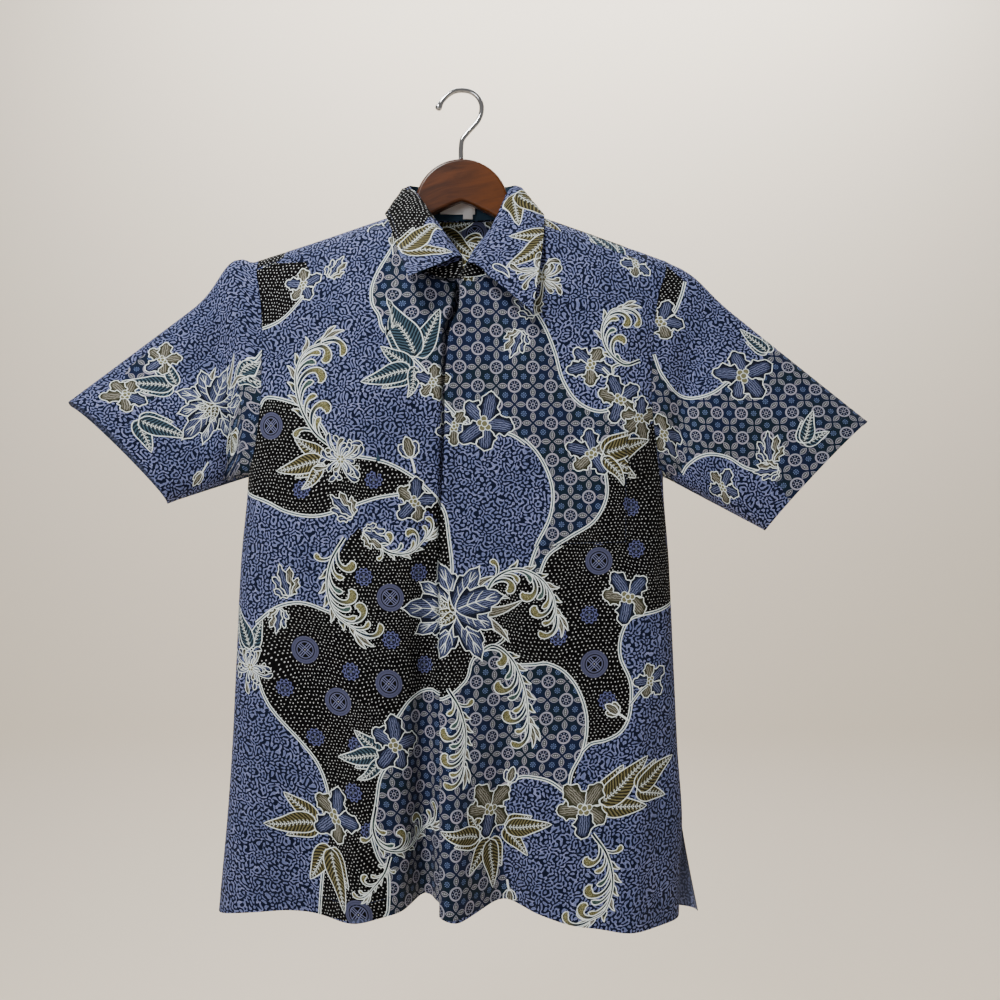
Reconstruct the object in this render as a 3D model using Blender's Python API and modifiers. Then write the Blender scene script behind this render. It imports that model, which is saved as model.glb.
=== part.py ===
"""A short-sleeved batik shirt on a wooden hanger.

Frame: X to the viewer's right, Y away from the viewer (towards the wall),
Z up. The origin is the underside of the hook's crown, where it hangs.
Lengths in this file are millimetres; MM turns them into metres.

The body is a flattened tube. At each height its front and back are the two
halves of a superellipse between two side lines, and both run up to one
shoulder ridge. Every panel is a patch of that tube, every sleeve runs from
the armhole's own loop to a flattened cuff ring, and the collar is lofted
through named stations round the neck.
"""

import bmesh
import bpy
import numpy as np
from mathutils import Vector

MM = 0.001
WALL = 1.4          # cloth wall
COLLAR_WALL = 2.0   # collar, with its interlining
GAP = 0.3           # between pieces at a seam
SIDE_GAP = 0.3      # each panel's set-back from the side seam
POWER = 2.8         # superellipse power of the body's section
FRONT_EASE = 180.0  # how far under the ridge the front reaches its full depth
BACK_EASE = 40.0
FORWARD_SEAM = 13.0  # yoke's front edge, under the shoulder ridge
YOKE_Z = -215.0     # yoke's back edge
SEAM_Z = -193.0     # where the forward seam meets the armhole
NECK_HALF = 72.5    # half the neckline's width at the shoulders
FRONT_NECK_Z = -213.5
BACK_NECK_Z = -132.5
ARMPIT_Z = -411.0
VENT_TOP_Z = -775.0
UNDERLAP = 20.0     # how far the under front runs past the placket edge
WIRE = 5.2          # hook wire
HANGER_THICK = 12.0


def table(names, *rows):
    return {n: np.array(c, float) for n, c in zip(names.split(), zip(*rows))}


def along(t, key, name, at):
    """A smooth curve through a table's column, at the places given."""
    x, y = t[key], t[name]
    if x[0] > x[-1]:
        x, y = x[::-1], y[::-1]
    slope = np.gradient(y, x)
    at = np.clip(np.asarray(at, float), x[0], x[-1])
    i = np.clip(np.searchsorted(x, at, side="right") - 1, 0, len(x) - 2)
    h = x[i + 1] - x[i]
    s = (at - x[i]) / h
    return (
        (1 + 2 * s) * (1 - s) ** 2 * y[i]
        + s * (1 - s) ** 2 * h * slope[i]
        + s * s * (3 - 2 * s) * y[i + 1]
        + s * s * (s - 1) * h * slope[i + 1]
    )


# The tube's side lines and depths at each height.
BODY = table(
    "z     left    right  back_left back_right side_y front back",
    (-70,  -229,   224,   -229,     224,       2,     60,   27),
    (-212, -229,   224,   -229,     224,       1,     60,   27),
    (-300, -228,   220,   -228,     220,       0,     52,   27),
    (-411, -226.4, 214,   -226.4,   214,       -1,    47,   27),
    (-500, -234,   220,   -234,     220,       -2,    46,   27),
    (-600, -238.5, 224.5, -238.5,   224.5,     -3,    46,   27),
    (-700, -243,   229,   -243,     229,       -4,    48,   27),
    (-775, -248,   233.5, -248,     233.5,     -5,    50,   27),
    (-825, -252.5, 231.5, -250,     242,       -5,    51,   27),
    (-875, -257,   230,   -252.5,   252,       -5,    52,   27),
)
# The two armhole lines, as seen from the front.
ARMHOLE = table(
    "z     left    right",
    (-150, -216,   216),
    (-180, -216,   216),
    (-194, -216,   216),
    (-217, -211.5, 208),
    (-250, -208,   202.5),
    (-290, -207.5, 199),
    (-340, -209,   199),
    (-372, -213.5, 203),
    (-395, -219.5, 208),
    (-411, -226.4, 214),
)
RIDGE = table(
    "x     z",
    (-260, -194.5),
    (-216, -179.7),
    (-70,  -131),
    (-20,  -113),
    (20,   -112),
    (70,   -128),
    (216,  -179.7),
    (260,  -195.5),
)
HEM = table(
    "x     z",
    (-262, -869),
    (-235, -862),
    (-200, -857),
    (-110, -857),
    (-60,  -853),
    (-30,  -850),
    (0,    -856),
    (45,   -850),
    (110,  -862),
    (170,  -870),
    (262,  -873),
)
# Heights of the rows of points at the armhole and down the side seam; the
# panels and the sleeves share them, so their walls meet point to point.
ARM_ROWS = (-207, -222, -240, -268, -303, -343, -380, -411)
SIDE_ROWS = (-455, -515, -580, -645, -710, -775, -822)
# The edge of the front that lies on top, and how far it stands off.
PLACKET = table(
    "z     x      off",
    (-200, -1,    7),
    (-228, 0,     8),
    (-242, -1,    7),
    (-257, -8,    5),
    (-290, -13,   2.6),
    (-379, -15.7, 2.3),
    (-438, -18.6, 2.3),
    (-500, -20,   2.3),
    (-640, -20.3, 2.3),
    (-880, -20,   2.3),
)
# The largest hanging folds of the front: where each is at the hem, how far
# it leans towards the middle at its top, how deep and wide it is, and the
# height at which it starts. A positive depth goes back.
FOLDS = table(
    "x     lean  depth  width  start",
    (-165, 30,   9,     34,    -560),
    (-103, 12,   -17,   26,    -470),
    (-38,  4,    46,    15,    -330),
    (-7,   2,    -17,   16,    -430),
    (44,   -8,   30,    24,    -520),
    (118,  -30,  -9,    26,    -500),
    (170,  -20,  -16,   30,    -450),
)
CHEST_FOLDS = table(
    "x     depth  width  z     height",
    (-150, 5,     22,    -330, 90),
    (-95,  -4,    26,    -300, 120),
    (110,  4,     24,    -290, 90),
    (165,  -4,    26,    -380, 90),
)
BACK_FOLDS = table(
    "x     lean  depth  width  start",
    (-130, 40,   -12,   30,    -420),
    (-20,  10,   -9,    26,    -520),
    (90,   -35,  -13,   32,    -400),
    (185,  -20,  -8,    24,    -560),
)


def hanging(folds, x, z):
    out = np.zeros(np.broadcast(x, z).shape)
    for fx, lean, depth, width, start in zip(*(folds[k] for k in ("x", "lean", "depth", "width", "start"))):
        share = np.clip((start - z) / (start + 865), 0, 1.05)
        at = fx - lean * (1 - share) * np.sign(fx)
        out += depth * share ** 1.3 * np.exp(-(((x - at) / (width * (0.75 + 0.25 * share))) ** 2))
    return out


def body_y(x, z, face):
    """The tube's depth at a place seen from the front: face -1 front, 1 back."""
    left, right = ("left", "right") if face < 0 else ("back_left", "back_right")
    xl, xr = along(BODY, "z", left, z), along(BODY, "z", right, z)
    side = along(BODY, "z", "side_y", z)
    across = np.clip(np.abs((2 * x - xl - xr) / (xr - xl)), 0, 1)
    round_ = (1 - across**POWER) ** (1 / POWER)
    under = np.clip(along(RIDGE, "x", "z", x) - z, 0, None)
    middle = np.clip(round_ * 1.6, 0, 1) ** 1.5
    round_ += np.clip(0.85 - round_, 0, 1) * np.exp(-under / 35)
    off = SIDE_GAP * across**8
    if face < 0:
        ease = np.clip(under / FRONT_EASE, 0, 1) ** 0.45
        deep = along(BODY, "z", "front", z)
        chest = sum(
            d * np.exp(-(((x - fx) / w) ** 2) - ((z - fz) / h) ** 2)
            for fx, d, w, fz, h in zip(*(CHEST_FOLDS[k] for k in ("x", "depth", "width", "z", "height")))
        )
        return side - off - deep * ease * round_ + (hanging(FOLDS, x, z) + chest) * middle
    ease = np.clip(under / BACK_EASE, 0, 1) ** 0.5
    return side + off + along(BODY, "z", "back", z) * ease * round_ + hanging(BACK_FOLDS, x, z) * middle


def edge_x(z, side, face):
    """The panel's outer line: the armhole, then the side seam or vent."""
    name = {-1: "left", 1: "right"}[side]
    tube = along(BODY, "z", name if face < 0 else "back_" + name, z)
    return np.where(z > ARMPIT_Z, along(ARMHOLE, "z", name, z), tube)


def rim_x(z, side, face):
    """Where the panel's cloth ends: just short of the armhole, or on the side line."""
    return edge_x(z, side, face) - np.where(z > ARMPIT_Z + 1, side * GAP, 0.0)


def points(x, y, z):
    return np.stack(np.broadcast_arrays(x, y, z), axis=-1) * MM


def cloth(name, grid, wall, material, outward, ring=False):
    """A wall of cloth on a grid of points, its thickness inside them. A ring's last column joins its first."""
    rows, columns = grid.shape[:2]
    mesh = bpy.data.meshes.new(name)
    bm = bmesh.new()
    verts = [[bm.verts.new(p) for p in row] for row in grid]
    for i in range(rows - 1):
        for j in range(columns if ring else columns - 1):
            k = (j + 1) % columns
            bm.faces.new((verts[i][j], verts[i + 1][j], verts[i + 1][k], verts[i][k]))
    bm.normal_update()
    centre = Vector(np.mean(grid.reshape(-1, 3), axis=0))
    facing = 0.0
    for f in bm.faces:
        way = f.calc_center_median() - centre if not any(outward) else Vector(outward)
        facing += f.normal.dot(way) * f.calc_area()
    if facing < 0:
        bmesh.ops.reverse_faces(bm, faces=bm.faces[:])
    bm.to_mesh(mesh)
    bm.free()
    mesh.materials.append(material)
    mesh.shade_smooth()
    obj = bpy.data.objects.new(name, mesh)
    parts.objects.link(obj)
    shell = obj.modifiers.new("wall", "SOLIDIFY")
    shell.thickness = wall * MM
    shell.offset = -1.0
    return obj


def material(name, colour, roughness, metallic=0.0):
    m = bpy.data.materials.new(name)
    m.use_nodes = True
    shader = m.node_tree.nodes["Principled BSDF"]
    shader.inputs["Base Color"].default_value = (*colour, 1)
    shader.inputs["Roughness"].default_value = roughness
    shader.inputs["Metallic"].default_value = metallic
    m.diffuse_color = (*colour, 1)
    return m


def shoulder_x(side):
    return side * np.linspace(NECK_HALF, abs(edge_x(SEAM_Z, side, -1)) - GAP, 7)


def stretch(y, x, z, off):
    """The cloth moved out by off along its own normal, as a change of depth."""
    slope = (body_y(x + 0.5, z, -1) - body_y(x - 0.5, z, -1)) / 1.0
    return y - off * np.sqrt(1 + np.clip(slope, -3, 3) ** 2)


def front_top(side):
    """The front's top edge from the middle out: neckline, then shoulder."""
    turn = np.linspace(0, np.pi / 2, 9)[:-1]
    ridge = along(RIDGE, "x", "z", side * NECK_HALF)
    neck_x = side * NECK_HALF * np.sin(turn)
    neck_z = FRONT_NECK_Z + (ridge - FORWARD_SEAM - FRONT_NECK_Z) * (1 - np.cos(turn))
    seam_x = shoulder_x(side)
    seam_x = np.concatenate([seam_x[:-1], [seam_x[-1] - side * 5], seam_x[-1:]])
    seam_z = along(RIDGE, "x", "z", seam_x) - FORWARD_SEAM - GAP
    return np.concatenate([neck_x, seam_x]), np.concatenate([neck_z, seam_z])


def front_panel(side):
    """Columns run from the middle out, rows from the top edge to the hem.

    The first columns keep their distance from the placket edge, so the two
    fronts have the same facets where one lies on the other.
    """
    over = side > 0
    pinned = np.array([0, 10, 20.0] if over else [20, 10, 0.0])
    top_x, top_z = front_top(side)
    keep = side * top_x > side * (along(PLACKET, "z", "x", FRONT_NECK_Z) + pinned[-1]) + 4
    top_x, top_z = top_x[keep], top_z[keep]

    def inner(z):
        return along(PLACKET, "z", "x", z) + pinned[-1]

    share = (top_x - inner(top_z)) / (rim_x(top_z, side, -1) - inner(top_z))
    top_z = np.concatenate([np.full(3, FRONT_NECK_Z), top_z])
    heights = np.array([SEAM_Z, *ARM_ROWS, *SIDE_ROWS, -871.0])
    grid = []
    for w in (heights - heights[0]) / (heights[-1] - heights[0]):
        z = top_z + w * (-860 - top_z)
        for _ in range(4):
            held = along(PLACKET, "z", "x", z[:3]) + pinned
            free = z[3:]
            x = inner(free) + share * (rim_x(free, side, -1) - inner(free))
            x = np.concatenate([held, x])
            z = top_z + w * (along(HEM, "x", "z", x) - top_z)
        y = body_y(x, z, -1)
        edge, off = along(PLACKET, "z", "x", z), along(PLACKET, "z", "off", z)
        if over:
            y = stretch(y, x, z, off * np.exp(-(((x - edge) / 30) ** 2)))
        else:
            lap = np.clip((x - edge + 16) / 16, 0, 1)
            y = stretch(y, x, z, -1.4 * lap * lap * (3 - 2 * lap))
        grid.append(points(x, y, z))
    return np.array(grid)


def back_panel():
    share = np.array([0, 0.012, *np.linspace(0.06, 0.94, 15), 0.988, 1])
    top = YOKE_Z - GAP
    heights = np.array([top, *ARM_ROWS[2:], *SIDE_ROWS, -871.0])
    grid = []
    for w in (heights - heights[0]) / (heights[-1] - heights[0]):
        z = np.full(share.shape, top + w * (-860 - top))
        for _ in range(4):
            left, right = rim_x(z, -1, 1), rim_x(z, 1, 1)
            x = left + share * (right - left)
            z = top + w * (along(HEM, "x", "z", x) - top)
        grid.append(points(x, body_y(x, z, 1), z))
    return np.array(grid)


def over_ridge(x, under):
    """A place on the shoulders: under < 0 in front of the ridge, > 0 behind it."""
    z = along(RIDGE, "x", "z", x) - np.abs(under)
    return points(x, np.where(under < 0, body_y(x, z, -1), body_y(x, z, 1)), z)


def yoke_panel():
    """Each column runs from the neckline or forward seam over the ridge to the back seam."""
    turn = np.linspace(0, np.pi / 2, 8)[:-1]
    halves = []
    for side in (-1, 1):
        seam_x = shoulder_x(side)
        neck_x = side * NECK_HALF * np.sin(turn)
        rise = (along(RIDGE, "x", "z", side * NECK_HALF) - BACK_NECK_Z) * (neck_x / NECK_HALF) ** 2
        fall = along(RIDGE, "x", "z", neck_x) - BACK_NECK_Z - rise
        start_x = np.concatenate([neck_x, seam_x])
        start_under = np.concatenate([np.clip(fall, 0.5, None), np.full(7, -FORWARD_SEAM)])
        start_under[6] = -2.0
        share = start_x / seam_x[-1]
        end_under = along(RIDGE, "x", "z", share * (edge_x(YOKE_Z, side, 1) - side * GAP)) - YOKE_Z
        # The first rows reach the ridge, or as far down where the neckline is behind it.
        ridge_under = np.where(start_under < 0, 0.0, start_under + 3)
        half = []
        for w in (0, 0.45, 0.85, 1.0):
            under = start_under + (ridge_under - start_under) * w
            half.append(over_ridge(start_x, under))
        for w in (0.02, 0.08, 0.22, 0.48, 0.74, 1.0):
            under = ridge_under + (end_under - ridge_under) * w
            x = start_x
            for _ in range(3):
                x = share * (edge_x(along(RIDGE, "x", "z", x) - under, side, 1) - side * GAP)
            half.append(over_ridge(x, under))
        halves.append(np.array(half))
    left, right = halves
    return np.concatenate([left[:, ::-1], right[:, 1:]], axis=1)


# Cuff rings: the top tip and the lower corner, seen from the front, half the
# ring's depth, how far the cuff's front dips in, and the shoulder's rise.
CUFF = table(
    "side tip_x   tip_z  low_x   low_z  y    deep  dip  rise",
    (-1,  -417.0, -333,  -312.0, -439,  -8,  22,   15,  19),
    (1,   431.0,  -353,  322.5,  -468,  -6,  23,   8,   6),
)
SLEEVE_FOLD = table("side at depth width", (-1, 0.24, 11, 0.09), (1, 0.2, 10, 0.09))


def sleeve(side):
    row = 0 if side < 0 else 1
    name = "left" if side < 0 else "right"
    top = along(RIDGE, "x", "z", edge_x(-181.0, side, -1))
    front_z = np.array([top, top - 2, top - 6, SEAM_Z, *ARM_ROWS])
    back_z = np.array([top, top - 2, top - 8, top - 20, YOKE_Z, *ARM_ROWS[2:]])
    halves, ways = [], []
    for face, z in ((-1, front_z), (1, back_z)):
        x = along(ARMHOLE, "z", name, z)
        inside = x - side * 20
        fall = -0.34 * np.exp(-(top - z) / 20)
        step = body_y(x, z, face) - body_y(inside, z - fall * 20, face)
        way = np.stack([np.full(len(z), side * 20.0), step, fall * 20], axis=-1)
        way /= np.linalg.norm(way, axis=1)[:, None]
        ways.append(way)
        halves.append(np.stack([x, body_y(x, z, face), z], axis=-1))
    front, back = halves
    loop = np.concatenate([front, back[-2:0:-1]])
    way = np.concatenate([ways[0], ways[1][-2:0:-1]])
    # Each point of the loop goes to the place on the cuff as far round as it is.
    steps = np.linalg.norm(np.diff(front, axis=0), axis=1)
    front_turn = np.concatenate([[0], np.cumsum(steps)]) / steps.sum() * np.pi
    steps = np.linalg.norm(np.diff(back, axis=0), axis=1)
    back_turn = 2 * np.pi - np.concatenate([[0], np.cumsum(steps)]) / steps.sum() * np.pi
    turn = np.concatenate([front_turn, back_turn[-2:0:-1]])
    c = {k: CUFF[k][row] for k in CUFF}
    middle = np.array([(c["tip_x"] + c["low_x"]) / 2, c["y"], (c["tip_z"] + c["low_z"]) / 2])
    reach = np.array([c["tip_x"] - middle[0], 0, c["tip_z"] - middle[2]])
    axis = np.array([reach[2], 0, -reach[0]])
    axis *= side * np.sign(axis[0]) / np.linalg.norm(axis)
    long_ = np.sign(np.cos(turn)) * np.abs(np.cos(turn)) ** 0.9
    wide = np.sign(np.sin(turn)) * np.abs(np.sin(turn)) ** 0.75
    ring = middle + long_[:, None] * reach - wide[:, None] * np.array([0, c["deep"], 0])
    ring -= axis * (c["dip"] * np.clip(wide, -0.3, 1) * (0.6 + 0.4 * wide))[:, None]
    fold = {k: SLEEVE_FOLD[k][row] for k in SLEEVE_FOLD}
    grid = []
    for t in (0, 0.02, 0.08, 0.14, 0.21, 0.28, 0.4, 0.6, 0.8, 1.0):
        # The sleeve leaves the armhole along the body's surface, then turns to the cuff.
        start = loop + way * (GAP + (4.0 if t > 0 else 0.0))
        p = start * (1 - t) + ring * t
        up = np.clip(np.cos(turn), 0, 1) ** 3
        p[:, 2] += c["rise"] * up * np.exp(-(((t - 0.13) / 0.1) ** 2)) * min(1.0, t / 0.05)
        low = np.clip(1.15 * np.clip(np.sin(turn), 0, 1) * (1 - 0.55 * np.cos(turn)), 0, 1)
        p[:, 1] += fold["depth"] * low * np.exp(-(((t - fold["at"]) / fold["width"]) ** 2))
        grid.append(p * MM)
    return np.array(grid)


# Stations round the neck, from the viewer's left end to the right end: the
# stand's foot on the neckline, the fold on top, and the leaf's outer edge.
COLLAR = table(
    "foot_x foot_y foot_z  fold_x fold_y fold_z  leaf_x leaf_y leaf_z",
    (4,     -52,   -212.5, 3,     -53,   -189.5, -49,   -78,   -216),
    (-24,   -49,   -209,   -10,   -46,   -171,   -57,   -62,   -195),
    (-46,   -43.5, -194,   -29,   -33,   -141.5, -65.5, -38,   -171),
    (-63.5, -26,   -165,   -45,   -16,   -115,   -72,   -22,   -148),
    (-70,   -3,    -130.5, -56,   -3,    -101.5, -77.5, -5,    -130.5),
    (-50,   16.5,  -131.5, -43,   13,    -97.5,  -56,   27,    -130),
    (0,     21,    -132,   0,     21.5,  -96,    0,     33,    -139),
    (50,    16.5,  -130,   43,    13,    -97.5,  56,    26,    -131),
    (70,    -3,    -127.5, 57,    -3,    -101,   82,    -3,    -130),
    (63.5,  -26.5, -163,   48,    -12,   -111.5, 84,    -22,   -151),
    (44,    -44.5, -196,   32,    -31,   -152,   81,    -41,   -185),
    (22,    -51,   -208,   14,    -47,   -181,   77,    -53,   -214),
    (-2,    -61,   -212.5, 8,     -57,   -196,   71.5,  -62,   -247),
)


def collar(columns):
    here = np.linspace(0, 12, columns)
    COLLAR["n"] = np.arange(13.0)
    at = {k: along(COLLAR, "n", k, here) for k in COLLAR}
    foot, fold, leaf = (np.stack([at[k + "_x"], at[k + "_y"], at[k + "_z"]], axis=-1) for k in ("foot", "fold", "leaf"))
    run = np.gradient(foot + fold, axis=0)
    out = np.stack([-run[:, 1], run[:, 0], 0 * run[:, 0]], axis=-1)
    out /= np.linalg.norm(out, axis=1)[:, None]
    return foot, fold, leaf, out


def stand_panel():
    foot, fold, _, out = collar(33)
    up = (fold - foot) / np.linalg.norm(fold - foot, axis=1)[:, None]
    foot = foot + 0.9 * up
    return np.array([foot + (fold - foot) * w + out * 2.2 * np.sin(np.pi * w) * 0.5 for w in (0, 0.35, 0.7, 1.0)]) * MM


def leaf_panel():
    """The outside of the leaf; its wall lies between this and the stand."""
    _, fold, leaf, out = collar(33)
    rows = []
    for w in (0, 0.08, 0.25, 0.5, 0.75, 1.0):
        bow = out * ((COLLAR_WALL + 1.2) + 1.6 * np.sin(np.pi * min(1.0, w * 1.2)))
        lift = np.array([0, 0, 0.8 + 2.0 * np.sin(np.pi * min(w / 0.3, 1.0))])
        rows.append(fold + (leaf - fold) * w + bow + lift)
    return np.array(rows) * MM


POCKET = table("left right top bottom", (66, 172, -362, -483))


def pocket_panel():
    p = {k: POCKET[k][0] for k in POCKET}
    grid = []
    for z in np.linspace(p["top"], p["bottom"], 7):
        x = np.linspace(p["left"], p["right"], 7)
        y = body_y(x, np.full(7, z), -1)
        off = along(PLACKET, "z", "off", z) * np.exp(-(((x - along(PLACKET, "z", "x", z)) / 26) ** 2))
        grid.append(points(x, stretch(y, x, np.full(7, z), off + 2.1), z + 0.02 * (x - p["left"])))
    return np.array(grid)


def hanger_outline():
    """The arch, the two sloping arms and their round ends, clockwise from the left foot of the arch."""
    arch = [(50 * np.cos(a), -122 + 50 * np.sin(a)) for a in np.linspace(np.pi, 0, 17)]
    right = [(52.5, -128), (57, -132.5), (64, -137), (140, -163)]
    end = [(213 + 9.5 * np.cos(a), -198.5 + 9.5 * np.sin(a)) for a in np.linspace(1.25, -1.9, 7)]
    under = [(140, -183), (64, -155.5), (40, -141.5), (6, -124.5)]
    half = right + end + under
    mirrored = [(-x, z) for x, z in half[::-1]]
    return arch + half + mirrored


def flat_outline(name, outline, thick, round_, mat):
    curve = bpy.data.curves.new(name, "CURVE")
    curve.dimensions = "2D"
    curve.fill_mode = "BOTH"
    curve.extrude = (thick / 2 - round_) * MM
    curve.bevel_depth = round_ * MM
    curve.bevel_resolution = 1
    curve.offset = -round_ * MM
    spline = curve.splines.new("POLY")
    spline.points.add(len(outline) - 1)
    for p, (x, z) in zip(spline.points, outline):
        p.co = (x * MM, z * MM, 0, 1)
    spline.use_cyclic_u = True
    curve.materials.append(mat)
    obj = bpy.data.objects.new(name, curve)
    obj.rotation_euler = (np.pi / 2, 0, 0)
    parts.objects.link(obj)
    return obj


# The hook's wire, from its foot in the wood to the tip.
HOOK = table(
    "x      z",
    (-1,    -71.5),
    (-1,    -60),
    (0.2,   -51),
    (4.5,   -44.5),
    (11,    -37.5),
    (17.5,  -29.5),
    (20.7,  -21),
    (20.6,  -12),
    (16.5,  -4.2),
    (9,     1),
    (0,     2.6),
    (-8.6,  1.2),
    (-16,   -3.4),
    (-21.5, -9.5),
    (-25,   -16),
)


def hook():
    n = len(HOOK["x"])
    HOOK["n"] = np.arange(float(n))
    here = np.linspace(0, n - 1, 34)
    curve = bpy.data.curves.new("hook", "CURVE")
    curve.dimensions = "3D"
    curve.bevel_depth = WIRE / 2 * MM
    curve.bevel_resolution = 2
    curve.use_fill_caps = True
    spline = curve.splines.new("POLY")
    spline.points.add(len(here) - 1)
    for p, x, z in zip(spline.points, along(HOOK, "n", "x", here), along(HOOK, "n", "z", here)):
        p.co = (x * MM, 0, z * MM, 1)
    curve.materials.append(steel)
    obj = bpy.data.objects.new("hook", curve)
    parts.objects.link(obj)
    return obj


def label(left, right, top, bottom, stand_off):
    """A small blank tag, flat, just inside the stand at the back of the neck."""
    grid = []
    for w in (0, 0.5, 1):
        z = top + (bottom - top) * w
        row = []
        for x in np.linspace(left, right, 5):
            near = 21.2 + (z + 132) * 0.014 - 0.0026 * x * x - COLLAR_WALL - stand_off
            row.append((x, near, z))
        grid.append(row)
    return np.array(grid) * MM


for old in list(bpy.data.objects):
    bpy.data.objects.remove(old, do_unlink=True)
parts = bpy.data.collections.new("batik_shirt_on_hanger")
bpy.context.scene.collection.children.link(parts)

print_cloth = material("batik_cotton", (0.06, 0.09, 0.20), 0.75)
white_tape = material("label_tape", (0.8, 0.8, 0.8), 0.7)
wood = material("stained_wood", (0.12, 0.035, 0.015), 0.25)
steel = material("polished_steel", (0.75, 0.75, 0.76), 0.2, 1.0)

cloth("front_right", front_panel(-1), WALL, print_cloth, (0, -1, 0))
cloth("front_left", front_panel(1), WALL, print_cloth, (0, -1, 0))
cloth("back", back_panel(), WALL, print_cloth, (0, 1, 0))
cloth("yoke", yoke_panel(), WALL, print_cloth, (0, 1, 0.3))
cloth("sleeve_right", sleeve(-1), WALL, print_cloth, (0, 0, 0), ring=True)
cloth("sleeve_left", sleeve(1), WALL, print_cloth, (0, 0, 0), ring=True)
cloth("chest_pocket", pocket_panel(), 1.0, print_cloth, (0, -1, 0))
cloth("collar_stand", stand_panel(), COLLAR_WALL, print_cloth, (0, 0, 0), ring=False)
cloth("collar_leaf", leaf_panel(), COLLAR_WALL, print_cloth, (0, 0, 0), ring=False)
cloth("neck_label", label(-24.5, 13.5, -104, -125, 1.9), 0.8, white_tape, (0, -1, 0))
cloth("size_tag", label(0.5, 11, -118, -130.5, 3.1), 0.8, white_tape, (0, -1, 0))
flat_outline("hanger", hanger_outline(), HANGER_THICK, 2.0, wood)
hook()
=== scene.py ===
import math

import bmesh
import bpy
import numpy as np
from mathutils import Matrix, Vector
from mathutils.geometry import delaunay_2d_cdt


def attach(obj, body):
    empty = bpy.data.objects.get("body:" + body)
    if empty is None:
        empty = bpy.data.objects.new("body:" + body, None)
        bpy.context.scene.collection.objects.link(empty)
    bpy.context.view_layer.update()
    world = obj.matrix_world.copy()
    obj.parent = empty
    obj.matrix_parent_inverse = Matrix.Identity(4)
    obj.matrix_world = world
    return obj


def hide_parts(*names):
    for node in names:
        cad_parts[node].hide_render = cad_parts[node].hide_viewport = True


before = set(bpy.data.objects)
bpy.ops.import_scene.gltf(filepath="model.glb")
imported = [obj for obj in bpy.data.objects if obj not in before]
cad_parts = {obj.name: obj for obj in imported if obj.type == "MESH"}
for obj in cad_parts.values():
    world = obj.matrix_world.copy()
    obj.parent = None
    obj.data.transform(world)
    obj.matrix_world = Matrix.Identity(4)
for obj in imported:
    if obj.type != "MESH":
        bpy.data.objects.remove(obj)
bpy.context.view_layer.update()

MM = 0.001
PI = math.pi

# =====================================================================
# 1. The shirt's form, in millimetres, as the CAD has it, with finer creases
# =====================================================================
GAP = 0.3
SIDE_GAP = 0.3
POWER = 2.8
FRONT_EASE = 180.0
BACK_EASE = 40.0
FORWARD_SEAM = 13.0
YOKE_Z = -215.0
SEAM_Z = -193.0
NECK_HALF = 72.5
FRONT_NECK_Z = -213.5
BACK_NECK_Z = -132.5
ARMPIT_Z = -411.0
COLLAR_WALL = 2.0


def table(names, *rows):
    return {n: np.array(c, float) for n, c in zip(names.split(), zip(*rows))}


def along(t, key, name, at):
    x, y = t[key], t[name]
    if x[0] > x[-1]:
        x, y = x[::-1], y[::-1]
    slope = np.gradient(y, x)
    at = np.clip(np.asarray(at, float), x[0], x[-1])
    i = np.clip(np.searchsorted(x, at, side="right") - 1, 0, len(x) - 2)
    h = x[i + 1] - x[i]
    s = (at - x[i]) / h
    return (
        (1 + 2 * s) * (1 - s) ** 2 * y[i]
        + s * (1 - s) ** 2 * h * slope[i]
        + s * s * (3 - 2 * s) * y[i + 1]
        + s * s * (s - 1) * h * slope[i + 1]
    )


BODY = table(
    "z     left    right  back_left back_right side_y front back",
    (-70,  -229,   224,   -229,     224,       2,     60,   27),
    (-212, -229,   224,   -229,     224,       1,     60,   27),
    (-300, -228,   220,   -228,     220,       0,     52,   27),
    (-411, -226.4, 214,   -226.4,   214,       -1,    47,   27),
    (-500, -234,   220,   -234,     220,       -2,    46,   27),
    (-600, -238.5, 224.5, -238.5,   224.5,     -3,    46,   27),
    (-700, -243,   229,   -243,     229,       -4,    48,   27),
    (-775, -248,   233.5, -248,     233.5,     -5,    50,   27),
    (-825, -252.5, 231.5, -250,     242,       -5,    51,   27),
    (-875, -257,   230,   -252.5,   252,       -5,    52,   27),
)
ARMHOLE = table(
    "z     left    right",
    (-150, -216,   216),
    (-180, -216,   216),
    (-194, -216,   216),
    (-217, -211.5, 208),
    (-250, -208,   202.5),
    (-290, -207.5, 199),
    (-340, -209,   199),
    (-372, -213.5, 203),
    (-395, -219.5, 208),
    (-411, -226.4, 214),
)
RIDGE = table(
    "x     z",
    (-260, -194.5),
    (-216, -179.7),
    (-70,  -131),
    (-20,  -113),
    (20,   -112),
    (70,   -128),
    (216,  -179.7),
    (260,  -195.5),
)
HEM = table(
    "x     z",
    (-262, -869),
    (-235, -862),
    (-200, -857),
    (-110, -857),
    (-60,  -853),
    (-30,  -850),
    (0,    -856),
    (45,   -850),
    (110,  -862),
    (170,  -870),
    (262,  -873),
)
PLACKET = table(
    "z     x      off",
    (-200, -1,    7),
    (-228, 0,     8),
    (-242, -1,    7),
    (-257, -8,    5),
    (-290, -13,   2.6),
    (-379, -15.7, 2.3),
    (-438, -18.6, 2.3),
    (-500, -20,   2.3),
    (-640, -20.3, 2.3),
    (-880, -20,   2.3),
)
FOLDS = table(
    "x     lean  depth  width  start",
    (-165, 30,   9,     34,    -560),
    (-103, 12,   -17,   26,    -470),
    (-38,  4,    46,    15,    -330),
    (-7,   2,    -17,   16,    -430),
    (44,   -8,   30,    24,    -520),
    (118,  -30,  -9,    26,    -500),
    (170,  -20,  -16,   30,    -450),
)
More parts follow.
